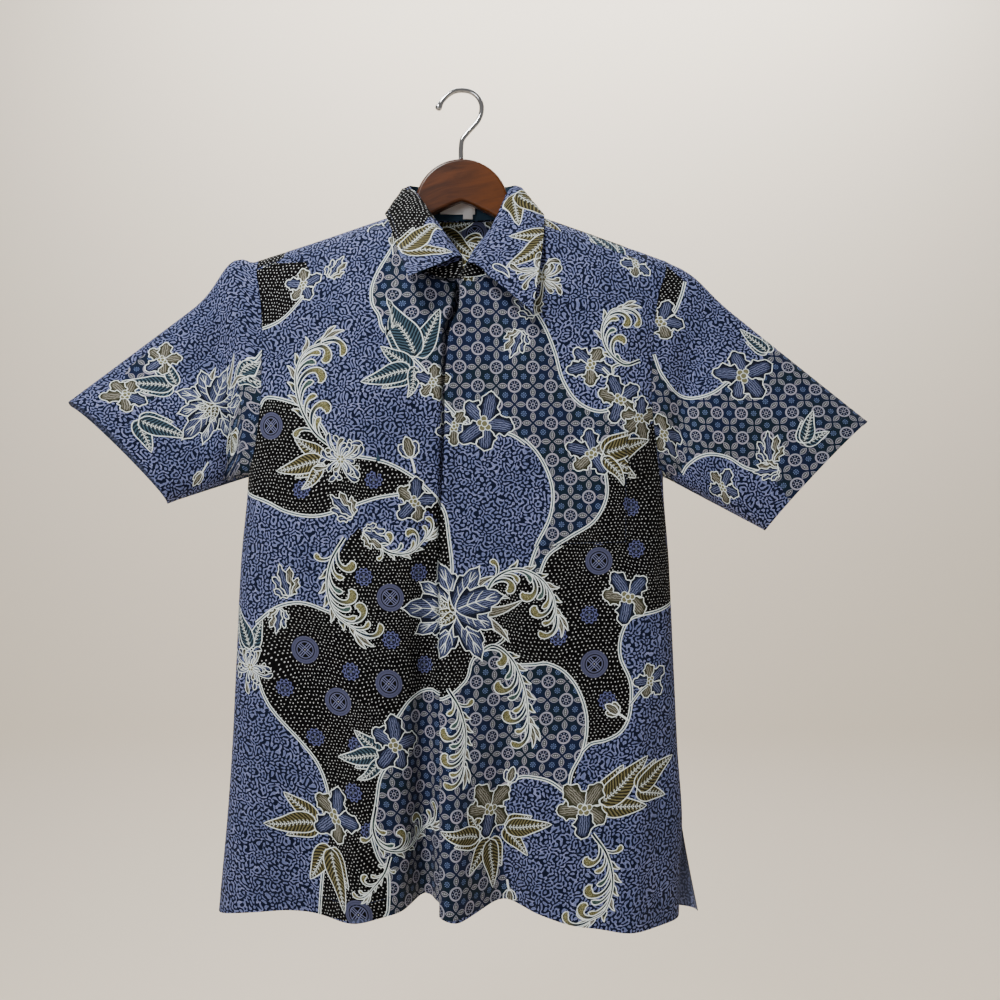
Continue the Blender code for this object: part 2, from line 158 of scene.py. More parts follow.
CHEST_FOLDS = table(
    "x     depth  width  z     height",
    (-150, 5,     22,    -330, 90),
    (-95,  -4,    26,    -300, 120),
    (110,  4,     24,    -290, 90),
    (165,  -4,    26,    -380, 90),
)
BACK_FOLDS = table(
    "x     lean  depth  width  start",
    (-130, 40,   -12,   30,    -420),
    (-20,  10,   -9,    26,    -520),
    (90,   -35,  -13,   32,    -400),
    (185,  -20,  -8,    24,    -560),
)
# Finer creases: a soft trough (depth > 0 goes back) or ridge along the line
# from (x0, z0) to (x1, z1), fading out at its ends.
FRONT_CREASES = table(
    "x0    z0    x1    z1    depth width",
    (-206, -268, -176, -330, 2.2,  9),
    (-207, -300, -168, -392, -1.6, 11),
    (-214, -372, -170, -470, 2.0,  10),
    (-222, -405, -186, -520, -1.8, 12),
    (-118, -215, -142, -300, -1.3, 10),
    (-92,  -226, -104, -330, 1.4,  9),
    (-60,  -250, -66,  -372, -1.2, 9),
    (-40,  -262, -46,  -420, 1.5,  7),
    (-150, -470, -142, -640, 1.2,  12),
    (-196, -560, -204, -760, -1.6, 13),
    (-132, -700, -128, -860, 1.6,  9),
    (-74,  -560, -70,  -780, -1.5, 9),
    (-205, -770, -212, -866, 1.7,  11),
    (-168, -800, -166, -866, -1.4, 8),
    (40,   -240, 34,   -330, 1.2,  8),
    (20,   -262, 12,   -420, -1.5, 9),
    (4,    -300, -2,   -470, 1.6,  7),
    (72,   -500, 66,   -640, -1.5, 11),
    (198,  -262, 166,  -330, 2.0,  10),
    (199,  -312, 158,  -402, -1.7, 11),
    (206,  -380, 172,  -470, 1.9,  10),
    (214,  -412, 186,  -560, -1.7, 13),
    (96,   -640, 84,   -830, 1.7,  10),
    (146,  -560, 140,  -700, 1.3,  11),
    (196,  -640, 206,  -800, 1.7,  12),
    (142,  -740, 146,  -866, -1.6, 9),
    (86,   -780, 80,   -864, -1.3, 7),
    (212,  -790, 218,  -868, -1.4, 8),
    (18,   -700, 14,   -850, 1.5,  7),
    (120,  -226, 138,  -282, 1.2,  9),
)
BACK_CREASES = table(
    "x0    z0    x1    z1    depth width",
    (-70,  -216, -74,  -420, -2.2, 9),
    (-86,  -216, -92,  -380, 1.6,  8),
    (66,   -216, 72,   -440, -2.2, 9),
    (82,   -216, 90,   -390, 1.6,  8),
    (-206, -300, -160, -392, 1.8,  11),
    (200,  -296, 158,  -400, 1.8,  11),
    (-214, -400, -176, -520, -1.6, 12),
    (206,  -396, 172,  -530, -1.6, 12),
    (-170, -560, -182, -760, 1.7,  13),
    (-60,  -520, -52,  -760, -1.6, 12),
    (20,   -480, 24,   -700, 1.5,  12),
    (140,  -560, 150,  -780, 1.7,  12),
    (-110, -700, -104, -860, 1.5,  9),
    (50,   -720, 44,   -862, -1.6, 9),
    (-14,  -780, -10,  -856, 1.3,  8),
    (204,  -700, 214,  -862, 1.6,  10),
)


def creases(t, x, z):
    out = np.zeros(np.broadcast(x, z).shape)
    for x0, z0, x1, z1, depth, width in zip(*(t[k] for k in ("x0", "z0", "x1", "z1", "depth", "width"))):
        length = math.hypot(x1 - x0, z1 - z0)
        ux, uz = (x1 - x0) / length, (z1 - z0) / length
        s = ((x - x0) * ux + (z - z0) * uz) / length
        wander = 2.2 * np.sin(s * 5.0 + x0)
        d = (x - x0) * -uz + (z - z0) * ux + wander
        fade = np.clip(s * 3, 0, 1) * np.clip((1.05 - s) * 2.2, 0, 1)
        out += depth * fade * fade * (3 - 2 * fade) * np.exp(-((d / width) ** 2))
    return out


def hanging(folds, x, z):
    out = np.zeros(np.broadcast(x, z).shape)
    for fx, lean, depth, width, start in zip(*(folds[k] for k in ("x", "lean", "depth", "width", "start"))):
        share = np.clip((start - z) / (start + 865), 0, 1.05)
        at = fx - lean * (1 - share) * np.sign(fx)
        out += depth * share ** 1.3 * np.exp(-(((x - at) / (width * (0.75 + 0.25 * share))) ** 2))
    return out


def body_y(x, z, face):
    left, right = ("left", "right") if face < 0 else ("back_left", "back_right")
    xl, xr = along(BODY, "z", left, z), along(BODY, "z", right, z)
    side = along(BODY, "z", "side_y", z)
    across = np.clip(np.abs((2 * x - xl - xr) / (xr - xl)), 0, 1)
    round_ = (1 - across**POWER) ** (1 / POWER)
    under = np.clip(along(RIDGE, "x", "z", x) - z, 0, None)
    middle = np.clip(round_ * 1.6, 0, 1) ** 1.5
    round_ += np.clip(0.85 - round_, 0, 1) * np.exp(-under / 35)
    off = SIDE_GAP * across**8
    if face < 0:
        ease = np.clip(under / FRONT_EASE, 0, 1) ** 0.45
        deep = along(BODY, "z", "front", z)
        chest = sum(
            d * np.exp(-(((x - fx) / w) ** 2) - ((z - fz) / h) ** 2)
            for fx, d, w, fz, h in zip(*(CHEST_FOLDS[k] for k in ("x", "depth", "width", "z", "height")))
        )
        return side - off - deep * ease * round_ + (hanging(FOLDS, x, z) + chest) * middle
    ease = np.clip(under / BACK_EASE, 0, 1) ** 0.5
    return side + off + along(BODY, "z", "back", z) * ease * round_ + hanging(BACK_FOLDS, x, z) * middle


def edge_x(z, side, face):
    name = {-1: "left", 1: "right"}[side]
    tube = along(BODY, "z", name if face < 0 else "back_" + name, z)
    return np.where(z > ARMPIT_Z, along(ARMHOLE, "z", name, z), tube)


def rim_x(z, side, face):
    return edge_x(z, side, face) - np.where(z > ARMPIT_Z + 1, side * GAP, 0.0)


def stretch(y, x, z, off):
    slope = body_y(x + 0.5, z, -1) - body_y(x - 0.5, z, -1)
    return y - off * np.sqrt(1 + np.clip(slope, -3, 3) ** 2)


def smoothstep(v):
    v = np.clip(v, 0, 1)
    return v * v * (3 - 2 * v)


def edge_fade(x, z, face):
    """0 on the panel's armhole and side line, 1 a little way in, so creases leave the seams together."""
    left, right = rim_x(z, -1, face), rim_x(z, 1, face)
    return smoothstep(np.minimum(x - left, right - x) / 14)


class Sheet:
    """A panel as a fine grid of points, with flat-cloth coordinates u (across) and v (up) at each."""

    def __init__(self, grid, u, v, facing):
        self.p = np.asarray(grid, float)
        self.u = np.asarray(u, float)
        self.v = np.asarray(v, float)
        du = np.gradient(self.p, axis=1)
        dv = np.gradient(self.p, axis=0)
        n = np.cross(du, dv)
        n /= np.maximum(np.linalg.norm(n, axis=2, keepdims=True), 1e-9)
        if facing is None:
            centre = self.p.reshape(-1, 3).mean(axis=0)
            way = ((self.p - centre) * n).sum()
        else:
            way = (n * np.array(facing)).sum()
        self.n = n if way > 0 else -n
        # Turning from u to v as seen from outside is anticlockwise when this is positive.
        cross = np.cross(du, dv)
        area_uv = (np.gradient(self.u, axis=1) * np.gradient(self.v, axis=0) - np.gradient(self.u, axis=0) * np.gradient(self.v, axis=1))
        self.hand = 1 if ((cross * self.n).sum(axis=2) * area_uv).sum() > 0 else -1

    def border(self, step=3.0):
        r, c = self.u.shape
        loop = [(0, j) for j in range(c)] + [(i, c - 1) for i in range(1, r)]
        loop += [(r - 1, j) for j in range(c - 2, -1, -1)] + [(i, 0) for i in range(r - 2, 0, -1)]
        uv = np.array([(self.u[i, j], self.v[i, j]) for i, j in loop])
        keep = [0]
        corners = {0, c - 1, c - 1 + r - 1, c - 1 + r - 1 + c - 1}
        for k in range(1, len(uv)):
            if k in corners or np.hypot(*(uv[k] - uv[keep[-1]])) >= step:
                keep.append(k)
        if np.hypot(*(uv[keep[-1]] - uv[0])) < step * 0.5:
            keep.pop()
        uv = uv[keep]
        area = np.sum(uv[:, 0] * np.roll(uv[:, 1], -1) - np.roll(uv[:, 0], -1) * uv[:, 1])
        return uv if area > 0 else uv[::-1]

    def find(self, u, v):
        """Fractional grid places (row, column) of flat-cloth points."""
        u, v = np.asarray(u, float), np.asarray(v, float)
        rows, cols = self.u.shape
        r_out, c_out = np.zeros(len(u)), np.zeros(len(u))
        u_up = self.u[0, -1] > self.u[0, 0]
        v_up = self.v[-1, 0] > self.v[0, 0]
        uu = self.u if u_up else -self.u
        vv = self.v if v_up else -self.v
        for s in range(0, len(u), 12000):
            tu = u[s : s + 12000] if u_up else -u[s : s + 12000]
            tv = v[s : s + 12000] if v_up else -v[s : s + 12000]
            n = len(tu)
            r = np.full(n, rows / 2.0)
            c = np.full(n, cols / 2.0)
            k = np.arange(n)
            for _ in range(7):
                c0 = np.clip(c.astype(int), 0, cols - 2)
                f = (c - c0)[None, :]
                prof = vv[:, c0] * (1 - f) + vv[:, c0 + 1] * f
                i = np.clip((prof < tv[None, :]).sum(axis=0) - 1, 0, rows - 2)
                lo, hi = prof[i, k], prof[i + 1, k]
                r = np.clip(i + (tv - lo) / np.where(hi - lo == 0, 1, hi - lo), 0, rows - 1)
                r0 = np.clip(r.astype(int), 0, rows - 2)
                f = (r - r0)[:, None]
                prof = uu[r0] * (1 - f) + uu[r0 + 1] * f
                j = np.clip((prof < tu[:, None]).sum(axis=1) - 1, 0, cols - 2)
                lo, hi = prof[k, j], prof[k, j + 1]
                c = np.clip(j + (tu - lo) / np.where(hi - lo == 0, 1, hi - lo), 0, cols - 1)
            r_out[s : s + n] = r
            c_out[s : s + n] = c
        return r_out, c_out

    def sample(self, what, r, c):
        r0 = np.clip(r.astype(int), 0, what.shape[0] - 2)
        c0 = np.clip(c.astype(int), 0, what.shape[1] - 2)
        fr, fc = (r - r0)[:, None], (c - c0)[:, None]
        return (
            what[r0, c0] * (1 - fr) * (1 - fc)
            + what[r0 + 1, c0] * fr * (1 - fc)
            + what[r0, c0 + 1] * (1 - fr) * fc
            + what[r0 + 1, c0 + 1] * fr * fc
        )

    def pin(self, x, z):
        """The flat-cloth place that is seen at (x, z) from the front, on cloth facing the viewer, and the turn there."""
        d = (self.p[..., 0] - x) ** 2 + (self.p[..., 2] - z) ** 2 + np.where(self.n[..., 1] < 0.1, 0, 1e6)
        i, j = np.unravel_index(np.argmin(d), d.shape)
        i2, j2 = min(i + 2, d.shape[0] - 1), min(j + 2, d.shape[1] - 1)
        i1, j1 = max(i2 - 4, 0), max(j2 - 4, 0)
        m = np.array([
            [self.p[i, j2, 0] - self.p[i, j1, 0], self.p[i2, j, 0] - self.p[i1, j, 0]],
            [self.p[i, j2, 2] - self.p[i, j1, 2], self.p[i2, j, 2] - self.p[i1, j, 2]],
        ])
        k = np.array([
            [self.u[i, j2] - self.u[i, j1], self.u[i2, j] - self.u[i1, j]],
            [self.v[i, j2] - self.v[i, j1], self.v[i2, j] - self.v[i1, j]],
        ])
        flat = k @ np.linalg.pinv(m)
        shift = flat @ np.array([x - self.p[i, j, 0], z - self.p[i, j, 2]])
        place = np.array([self.u[i, j], self.v[i, j]])
        if np.hypot(*shift) < 25:
            place = place + shift
        return place, math.atan2(flat[1, 0] - flat[0, 1], flat[0, 0] + flat[1, 1])


def arc(points, axis):
    steps = np.linalg.norm(np.diff(points, axis=axis), axis=2)
    pad = [(0, 0), (0, 0)]
    pad[axis] = (1, 0)
    return np.pad(np.cumsum(steps, axis=axis), pad)


def front_top(side, fine):
    turn = np.linspace(0, PI / 2, fine)[:-1]
    ridge = along(RIDGE, "x", "z", side * NECK_HALF)
    neck_x = side * NECK_HALF * np.sin(turn)
    neck_z = FRONT_NECK_Z + (ridge - FORWARD_SEAM - FRONT_NECK_Z) * (1 - np.cos(turn))
    seam_x = side * np.linspace(NECK_HALF, abs(edge_x(SEAM_Z, side, -1)) - GAP, 2 * fine)
    seam_z = along(RIDGE, "x", "z", seam_x) - FORWARD_SEAM - GAP
    return np.concatenate([neck_x, seam_x]), np.concatenate([neck_z, seam_z])


def front_sheet(side):
    over = side > 0
    pinned = np.linspace(0, 20, 9) if over else np.linspace(20, -12, 17)
    top_x, top_z = front_top(side, 26)
    keep = side * top_x > side * (along(PLACKET, "z", "x", FRONT_NECK_Z) + pinned[-1]) + 2.5
    top_x, top_z = top_x[keep], top_z[keep]

    def inner(z):
        return along(PLACKET, "z", "x", z) + pinned[-1]

    share = (top_x - inner(top_z)) / (rim_x(top_z, side, -1) - inner(top_z))
    # More columns near the side line, where the cloth turns back.
    close = 1 - (1 - share[-2]) * np.array([0.62, 0.34, 0.15, 0.05, 0.012])
    share = np.concatenate([share[:-1], close, share[-1:]])
    top_z = np.concatenate([top_z[:-1], np.interp(close, [share[-7], 1], [top_z[-2], top_z[-1]]), top_z[-1:]])
    n = len(pinned)
    top_z = np.concatenate([np.full(n, FRONT_NECK_Z), top_z])
    heights = np.concatenate([np.linspace(SEAM_Z, -862, 190), [-865, -868, -871]])
    rows = []
    for w in (heights - heights[0]) / (heights[-1] - heights[0]):
        z = top_z + w * (-860 - top_z)
        for _ in range(4):
            held = along(PLACKET, "z", "x", z[:n]) + pinned
            free = z[n:]
            x = inner(free) + share * (rim_x(free, side, -1) - inner(free))
            x = np.concatenate([held, x])
            z = top_z + w * (along(HEM, "x", "z", x) - top_z)
        y = body_y(x, z, -1)
        edge, off = along(PLACKET, "z", "x", z), along(PLACKET, "z", "off", z)
        if over:
            y = stretch(y, x, z, off * np.exp(-(((x - edge) / 30) ** 2)) + 2.4 * np.exp(-(((x - edge) / 9) ** 2)))
        else:
            # The under layer drops away under the upper one's edge, and most of all at the neck.
            y = stretch(y, x, z, -2.5 * smoothstep((x - edge + 18) / 16))
            y = y + (10.0 + 6.0 * np.exp(-(((z + 246) / 26) ** 2))) * smoothstep((x - edge + 6 + 3.0 * np.exp(-(((z + 246) / 30) ** 2))) / 6.5)
        top = smoothstep((along(RIDGE, "x", "z", x) - FORWARD_SEAM - z) / 12)
        y = y + creases(FRONT_CREASES, x, z) * edge_fade(x, z, -1) * top
        rows.append(np.stack([x, y, z], axis=-1))
    grid = np.array(rows)
    # The rows slope steeply under the neck point; only their reach sideways is width of cloth.
    run = arc(grid * (1, 1, 0), 1)
    start = grid[:, :1, 0]
    u = start + (run if over else 3.0 - run)
    return Sheet(grid, u, grid[..., 2], (0, -1, 0))


def back_sheet():
    s = np.linspace(-1, 1, 131)
    share = 0.5 + 0.5 * np.sign(s) * (1 - (1 - np.abs(s)) ** 1.6)
    top = YOKE_Z - GAP
    heights = np.concatenate([np.linspace(top, -862, 170), [-865, -868, -871]])
    rows = []
    for w in (heights - heights[0]) / (heights[-1] - heights[0]):
        z = np.full(share.shape, top + w * (-860 - top))
        for _ in range(4):
            left, right = rim_x(z, -1, 1), rim_x(z, 1, 1)
            x = left + share * (right - left)
            z = top + w * (along(HEM, "x", "z", x) - top)
        y = body_y(x, z, 1) - creases(BACK_CREASES, x, z) * edge_fade(x, z, 1) * smoothstep((YOKE_Z + 3 - z) / 9)
        rows.append(np.stack([x, y, z], axis=-1))
    grid = np.array(rows)
    run = arc(grid, 1)
    mid = np.argmin(np.abs(share - 0.5))
    u = -(run - run[:, mid : mid + 1] + grid[:, mid : mid + 1, 0])
    return Sheet(grid, u, grid[..., 2], (0, 1, 0))


def over_ridge(x, under):
    z = along(RIDGE, "x", "z", x) - np.abs(under)
    y = np.where(under < 0, body_y(x, z, -1), body_y(x, z, 1))
    return np.stack(np.broadcast_arrays(x, y, z), axis=-1)


def yoke_sheet():
    turn = np.linspace(0, PI / 2, 27)[:-1]
    halves = []
    for side in (-1, 1):
        seam_x = side * np.linspace(NECK_HALF, abs(edge_x(SEAM_Z, side, -1)) - GAP, 44)
        neck_x = side * NECK_HALF * np.sin(turn)
        rise = (along(RIDGE, "x", "z", side * NECK_HALF) - BACK_NECK_Z) * (neck_x / NECK_HALF) ** 2
        fall = along(RIDGE, "x", "z", neck_x) - BACK_NECK_Z - rise
        start_x = np.concatenate([neck_x, seam_x])
        under_neck = np.clip(fall, 0.5, None)
        swap = np.abs(neck_x) > 69
        under_neck[swap] = np.linspace(0.3, -9, swap.sum())
        start_under = np.concatenate([under_neck, np.full(len(seam_x), -FORWARD_SEAM)])
        share = start_x / seam_x[-1]
        end_under = along(RIDGE, "x", "z", share * (edge_x(YOKE_Z, side, 1) - side * GAP)) - YOKE_Z
        ridge_under = np.where(start_under < 0, 0.0, start_under + 3)
        half = []
        for w in (0, 0.15, 0.3, 0.45, 0.6, 0.75, 0.87, 0.95, 0.985, 1.0):
            half.append(over_ridge(start_x, start_under + (ridge_under - start_under) * w))
        for w in (0.002, 0.008, 0.02, 0.04, 0.07, 0.11, 0.16, 0.22, 0.3, 0.39, 0.48, 0.57, 0.66, 0.75, 0.84, 0.92, 1.0):
            under = ridge_under + (end_under - ridge_under) * w
            x = start_x
            for _ in range(3):
                x = share * (edge_x(along(RIDGE, "x", "z", x) - under, side, 1) - side * GAP)
            half.append(over_ridge(x, under))
        halves.append(np.array(half))
    left, right = halves
    grid = np.concatenate([left[:, ::-1], right[:, 1:]], axis=1)
    run = arc(grid, 0)
    u = -grid[..., 0]
    v = -(run - run[9:10]) - 130
    return Sheet(grid, u, v, (0, 0.7, 0.7))


CUFF = table(
    "side tip_x   tip_z  low_x   low_z  y    deep  dip  rise",
    (-1,  -417.0, -333,  -312.0, -439,  -8,  22,   15,  19),
    (1,   431.0,  -353,  322.5,  -468,  -6,  23,   8,   6),
)
SLEEVE_FOLD = table("side at depth width", (-1, 0.24, 11, 0.09), (1, 0.2, 10, 0.09))
# Sleeve creases, from (turn, t) to (turn, t): turn 0 is the top fold and pi the
# underarm, t runs from the armhole to the cuff. Negative turns are the back.
SLEEVE_CREASES = table(
    "side a0    t0    a1    t1    depth width",
    (-1,  0.5,  0.05, 0.9,  0.55, -1.8, 0.10),
    (-1,  0.9,  0.03, 1.3,  0.7,  2.0,  0.10),
    (-1,  1.5,  0.06, 1.5,  0.9,  -1.8, 0.12),
    (-1,  2.1,  0.06, 1.9,  0.8,  1.9,  0.11),
    (-1,  2.6,  0.05, 2.3,  0.6,  -1.6, 0.10),
    (-1,  0.6,  0.6,  0.5,  1.0,  1.3,  0.11),
    (-1,  -0.8, 0.05, -1.1, 0.8,  -1.9, 0.13),
    (-1,  -1.8, 0.05, -1.6, 0.9,  1.9,  0.13),
    (-1,  -2.5, 0.05, -2.2, 0.6,  -1.6, 0.12),
    (1,   0.5,  0.05, 1.0,  0.6,  -1.8, 0.10),
    (1,   1.0,  0.04, 1.3,  0.8,  2.0,  0.11),
    (1,   1.6,  0.05, 1.7,  0.8,  -1.8, 0.11),
    (1,   2.2,  0.06, 2.0,  0.9,  1.9,  0.11),
    (1,   2.7,  0.05, 2.4,  0.5,  -1.6, 0.09),
    (1,   0.7,  0.55, 0.6,  1.0,  1.3,  0.11),
    (1,   -0.9, 0.05, -1.2, 0.8,  -1.9, 0.13),
    (1,   -1.9, 0.05, -1.7, 0.9,  1.9,  0.13),
    (1,   -2.5, 0.05, -2.2, 0.6,  -1.6, 0.12),
)


def sleeve_sheet(side):
    row = 0 if side < 0 else 1
    name = "left" if side < 0 else "right"
    top = float(along(RIDGE, "x", "z", edge_x(-181.0, side, -1)))
    drop = np.concatenate([[0, 0.3, 0.8, 1.6, 3, 5, 8, 12], np.linspace(17, top - ARMPIT_Z, 46)])
    z_line = top - drop
    halves, ways = [], []
    for face in (-1, 1):
        x = along(ARMHOLE, "z", name, z_line)
        inside = x - side * 20
        fall = -0.34 * np.exp(-drop / 20)
        step = body_y(x, z_line, face) - body_y(inside, z_line - fall * 20, face)
        way = np.stack([np.full(len(x), side * 20.0), step, fall * 20], axis=-1)
        way /= np.linalg.norm(way, axis=1)[:, None]
        ways.append(way)
        halves.append(np.stack([x, body_y(x, z_line, face), z_line], axis=-1))
    front, back = halves

    def turn_of(line):
        steps = np.linalg.norm(np.diff(line, axis=0), axis=1)
        return np.concatenate([[0], np.cumsum(steps)]) / steps.sum() * PI

    # From the underarm up the back to the top, then down the front to the underarm.
    loop = np.concatenate([back[::-1], front[1:]])
    way = np.concatenate([ways[1][::-1], ways[0][1:]])
    turn = np.concatenate([-turn_of(back)[::-1], turn_of(front)[1:]])
    even = np.linspace(-PI, PI, 161)
    loop = np.stack([np.interp(even, turn, loop[:, k]) for k in range(3)], axis=-1)
    way = np.stack([np.interp(even, turn, way[:, k]) for k in range(3)], axis=-1)
    turn = even
    c = {k: CUFF[k][row] for k in CUFF}
    middle = np.array([(c["tip_x"] + c["low_x"]) / 2, c["y"], (c["tip_z"] + c["low_z"]) / 2])
    reach = np.array([c["tip_x"] - middle[0], 0, c["tip_z"] - middle[2]])
    axis = np.array([reach[2], 0, -reach[0]])
    axis *= side * np.sign(axis[0]) / np.linalg.norm(axis)
    long_ = np.sign(np.cos(turn)) * np.abs(np.cos(turn)) ** 0.9
    wide = np.sign(np.sin(turn)) * np.abs(np.sin(turn)) ** 0.75
    ring = middle + long_[:, None] * reach - wide[:, None] * np.array([0, c["deep"], 0])
    ring -= axis * (c["dip"] * np.clip(wide, -0.3, 1) * (0.6 + 0.4 * wide))[:, None]
    # The part's fold is measured on the turn from 0 to 2 pi.
    fold = {k: SLEEVE_FOLD[k][row] for k in SLEEVE_FOLD}
    rows = []
    ts = np.concatenate([[0, 0.006, 0.013, 0.02], np.linspace(0.035, 0.97, 44), [0.985, 1.0]])
    for t in ts:
        start = loop + way * (GAP + 4.0 * smoothstep(t / 0.02))
        p = start * (1 - t) + ring * t
        up = np.clip(np.cos(turn), 0, 1) ** 3
        p[:, 2] += c["rise"] * up * np.exp(-(((t - 0.13) / 0.1) ** 2)) * min(1.0, t / 0.05)
        low = np.clip(1.15 * np.clip(np.sin(turn), 0, 1) * (1 - 0.55 * np.cos(turn)), 0, 1)
        p[:, 1] += fold["depth"] * low * np.exp(-(((t - fold["at"]) / fold["width"]) ** 2))
        for k in range(len(SLEEVE_CREASES["side"])):
            cr = {n: SLEEVE_CREASES[n][k] for n in SLEEVE_CREASES}
            if cr["side"] != side:
                continue
            s = (t - cr["t0"]) / (cr["t1"] - cr["t0"])
            fade = smoothstep(s * 3) * smoothstep((1.05 - s) * 2.5) * min(1.0, t / 0.04)
            at = cr["a0"] + (cr["a1"] - cr["a0"]) * s + 0.03 * math.sin(9 * s + k)
            soft = np.exp(-(((turn - at) / cr["width"]) ** 2))
            p[:, 1] += cr["depth"] * fade * soft * np.where(turn > 0, 1, -1) * smoothstep((PI - np.abs(turn)) / 0.4)
        # The height is left as it is here: nothing is added.
        p[:, 2] += 0.0
        rows.append(p)
    grid = np.array(rows)
    run = arc(grid, 1)
    mid = len(turn) // 2
    u = -side * (run - run[:, mid : mid + 1])
    down = arc(grid, 0)
    v = down[-1:] - down
    v = v - 420
    sheet = Sheet(grid, u, v, None)
    return sheet


COLLAR = table(
    "n   foot_x foot_y foot_z  fold_x fold_y fold_z  leaf_x leaf_y leaf_z",
    (0,  4,     -52,   -212.5, 3,     -53,   -189.5, -49,   -78,   -216),
    (1,  -24,   -49,   -209,   -10,   -46,   -171,   -57,   -62,   -195),
    (2,  -46,   -43.5, -194,   -29,   -33,   -141.5, -65.5, -38,   -171),
    (3,  -63.5, -26,   -165,   -45,   -16,   -115,   -72,   -22,   -148),
    (4,  -70,   -3,    -130.5, -56,   -3,    -101.5, -77.5, -5,    -130.5),
    (5,  -50,   16.5,  -131.5, -43,   13,    -97.5,  -56,   27,    -130),
    (6,  0,     21,    -132,   0,     21.5,  -96,    0,     33,    -139),
    (7,  50,    16.5,  -130,   43,    13,    -97.5,  56,    26,    -131),
    (8,  70,    -3,    -127.5, 57,    -3,    -101,   82,    -3,    -130),
    (9,  63.5,  -26.5, -163,   48,    -12,   -111.5, 84,    -22,   -151),
    (10, 44,    -44.5, -196,   32,    -31,   -152,   81,    -41,   -185),
    (11, 22,    -51,   -208,   14,    -47,   -181,   77,    -53,   -214),
    (12, -2,    -61,   -212.5, 8,     -57,   -196,   71.5,  -62,   -247),
)


def collar(columns):
    here = np.linspace(0, 12, columns)
    at = {k: along(COLLAR, "n", k, here) for k in COLLAR}
    foot, fold, leaf = (np.stack([at[k + "_x"], at[k + "_y"], at[k + "_z"]], axis=-1) for k in ("foot", "fold", "leaf"))
    run = np.gradient(foot + fold, axis=0)
    out = np.stack([-run[:, 1], run[:, 0], 0 * run[:, 0]], axis=-1)
    out /= np.linalg.norm(out, axis=1)[:, None]
    return foot, fold, leaf, out


def stand_sheet():
    foot, fold, _, out = collar(145)
    up = (fold - foot) / np.linalg.norm(fold - foot, axis=1)[:, None]
    foot = foot + 0.9 * up
    grid = np.array([foot + (fold - foot) * w + out * 1.1 * np.sin(PI * w) for w in np.linspace(0, 1, 15)])
    run = arc(grid, 1)
    rise = arc(grid, 0)
    return Sheet(grid, run[:, 72:73] - run, rise, None)


def leaf_sheet():
    _, fold, leaf, out = collar(145)
    rows = []
    for w in np.concatenate([[0, 0.015, 0.035], np.linspace(0.06, 0.97, 26), [1.0]]):
        bow = out * ((COLLAR_WALL + 1.2) + 1.6 * np.sin(PI * min(1.0, w * 1.2)))
        lift = np.array([0, 0, 0.8 + 2.0 * np.sin(PI * min(w / 0.3, 1.0))])
        # The roll of the fold: the leaf leaves the stand in a small round.
        roll = out * (-(COLLAR_WALL + 0.8) * (1 - smoothstep(w / 0.07)))
        rows.append(fold + (leaf - fold) * w + bow + lift + roll)
    grid = np.array(rows)
    run = arc(grid, 1)
    middle = run[:, 72:73]
    down = arc(grid, 0)
    return Sheet(grid, middle - run, -down, None)


POCKET = table("left right top bottom", (66, 172, -362, -483))


def pocket_sheet():
    p = {k: POCKET[k][0] for k in POCKET}
    rows = []
    for z in np.linspace(p["top"], p["bottom"], 50):
        x = np.linspace(p["left"], p["right"], 45)
        zz = np.full(45, z)
        y = body_y(x, zz, -1) + creases(FRONT_CREASES, x, zz) * edge_fade(x, zz, -1)
        off = along(PLACKET, "z", "off", z) * np.exp(-(((x - along(PLACKET, "z", "x", z)) / 26) ** 2))
        rim = np.minimum(np.minimum(x - p["left"], p["right"] - x), z - p["bottom"])
        lift = 1.0 + 0.55 * smoothstep(rim / 5) + 0.9 * smoothstep((z - p["top"] + 26) / 26) * smoothstep(rim / 24)
        rows.append(np.stack([x, stretch(y, x, zz, off + lift), zz + 0.02 * (x - p["left"])], axis=-1))
    grid = np.array(rows)
    run = arc(grid, 1)
    u = grid[:, :1, 0] + run
    return Sheet(grid, u, grid[..., 2], (0, -1, 0))


# =====================================================================
# 2. The print: shapes in flat-cloth millimetres, painted in order
# =====================================================================
# Material slots of the printed cloth, in the order they are added.
INKS = (
    "curls", "lattice", "dots", "cream", "core", "slate", "khaki", "olive",
    "night_leaf", "plume", "core_leaf", "medallion", "rosette", "cell", "reverse",
)
INK = {name: i for i, name in enumerate(INKS)}
LINE = 1.0  # the cream outline


class Shape:
    def __init__(self, outline, ink, spine=None, half=None):
        p = np.asarray(outline, float)
        area = np.sum(p[:, 0] * np.roll(p[:, 1], -1) - np.roll(p[:, 0], -1) * p[:, 1])
        self.p = p if area > 0 else p[::-1]
        self.ink = ink
        self.spine = None if spine is None else np.asarray(spine, float)
        self.half = half

    def moved(self, turn, shift, mirror=False):
        c, s = math.cos(turn), math.sin(turn)
        m = np.array([[c, s], [-s, c]])
        if mirror:
            m = np.array([[-1, 0], [0, 1]]) @ m
        spine = None if self.spine is None else self.spine @ m + shift
        return Shape(self.p @ m + shift, self.ink, spine, self.half)


def smooth(points, step=3.0, closed=False):
    """An even Catmull-Rom curve through the points."""
    p = np.asarray(points, float)
    if closed:
        p = np.vstack([p[-1], p, p[:2]])
    else:
        p = np.vstack([2 * p[0] - p[1], p, 2 * p[-1] - p[-2]])
    out = []
    for k in range(1, len(p) - 2):
        a, b, c, d = p[k - 1 : k + 3]
        n = max(2, int(np.hypot(*(c - b)) / step))
        t = np.arange(n)[:, None] / n
        out.append(0.5 * (2 * b + (c - a) * t + (2 * a - 5 * b + 4 * c - d) * t**2 + (3 * b - a - 3 * c + d) * t**3))
    if not closed:
        out.append(p[-2:-1])
    return np.vstack(out)


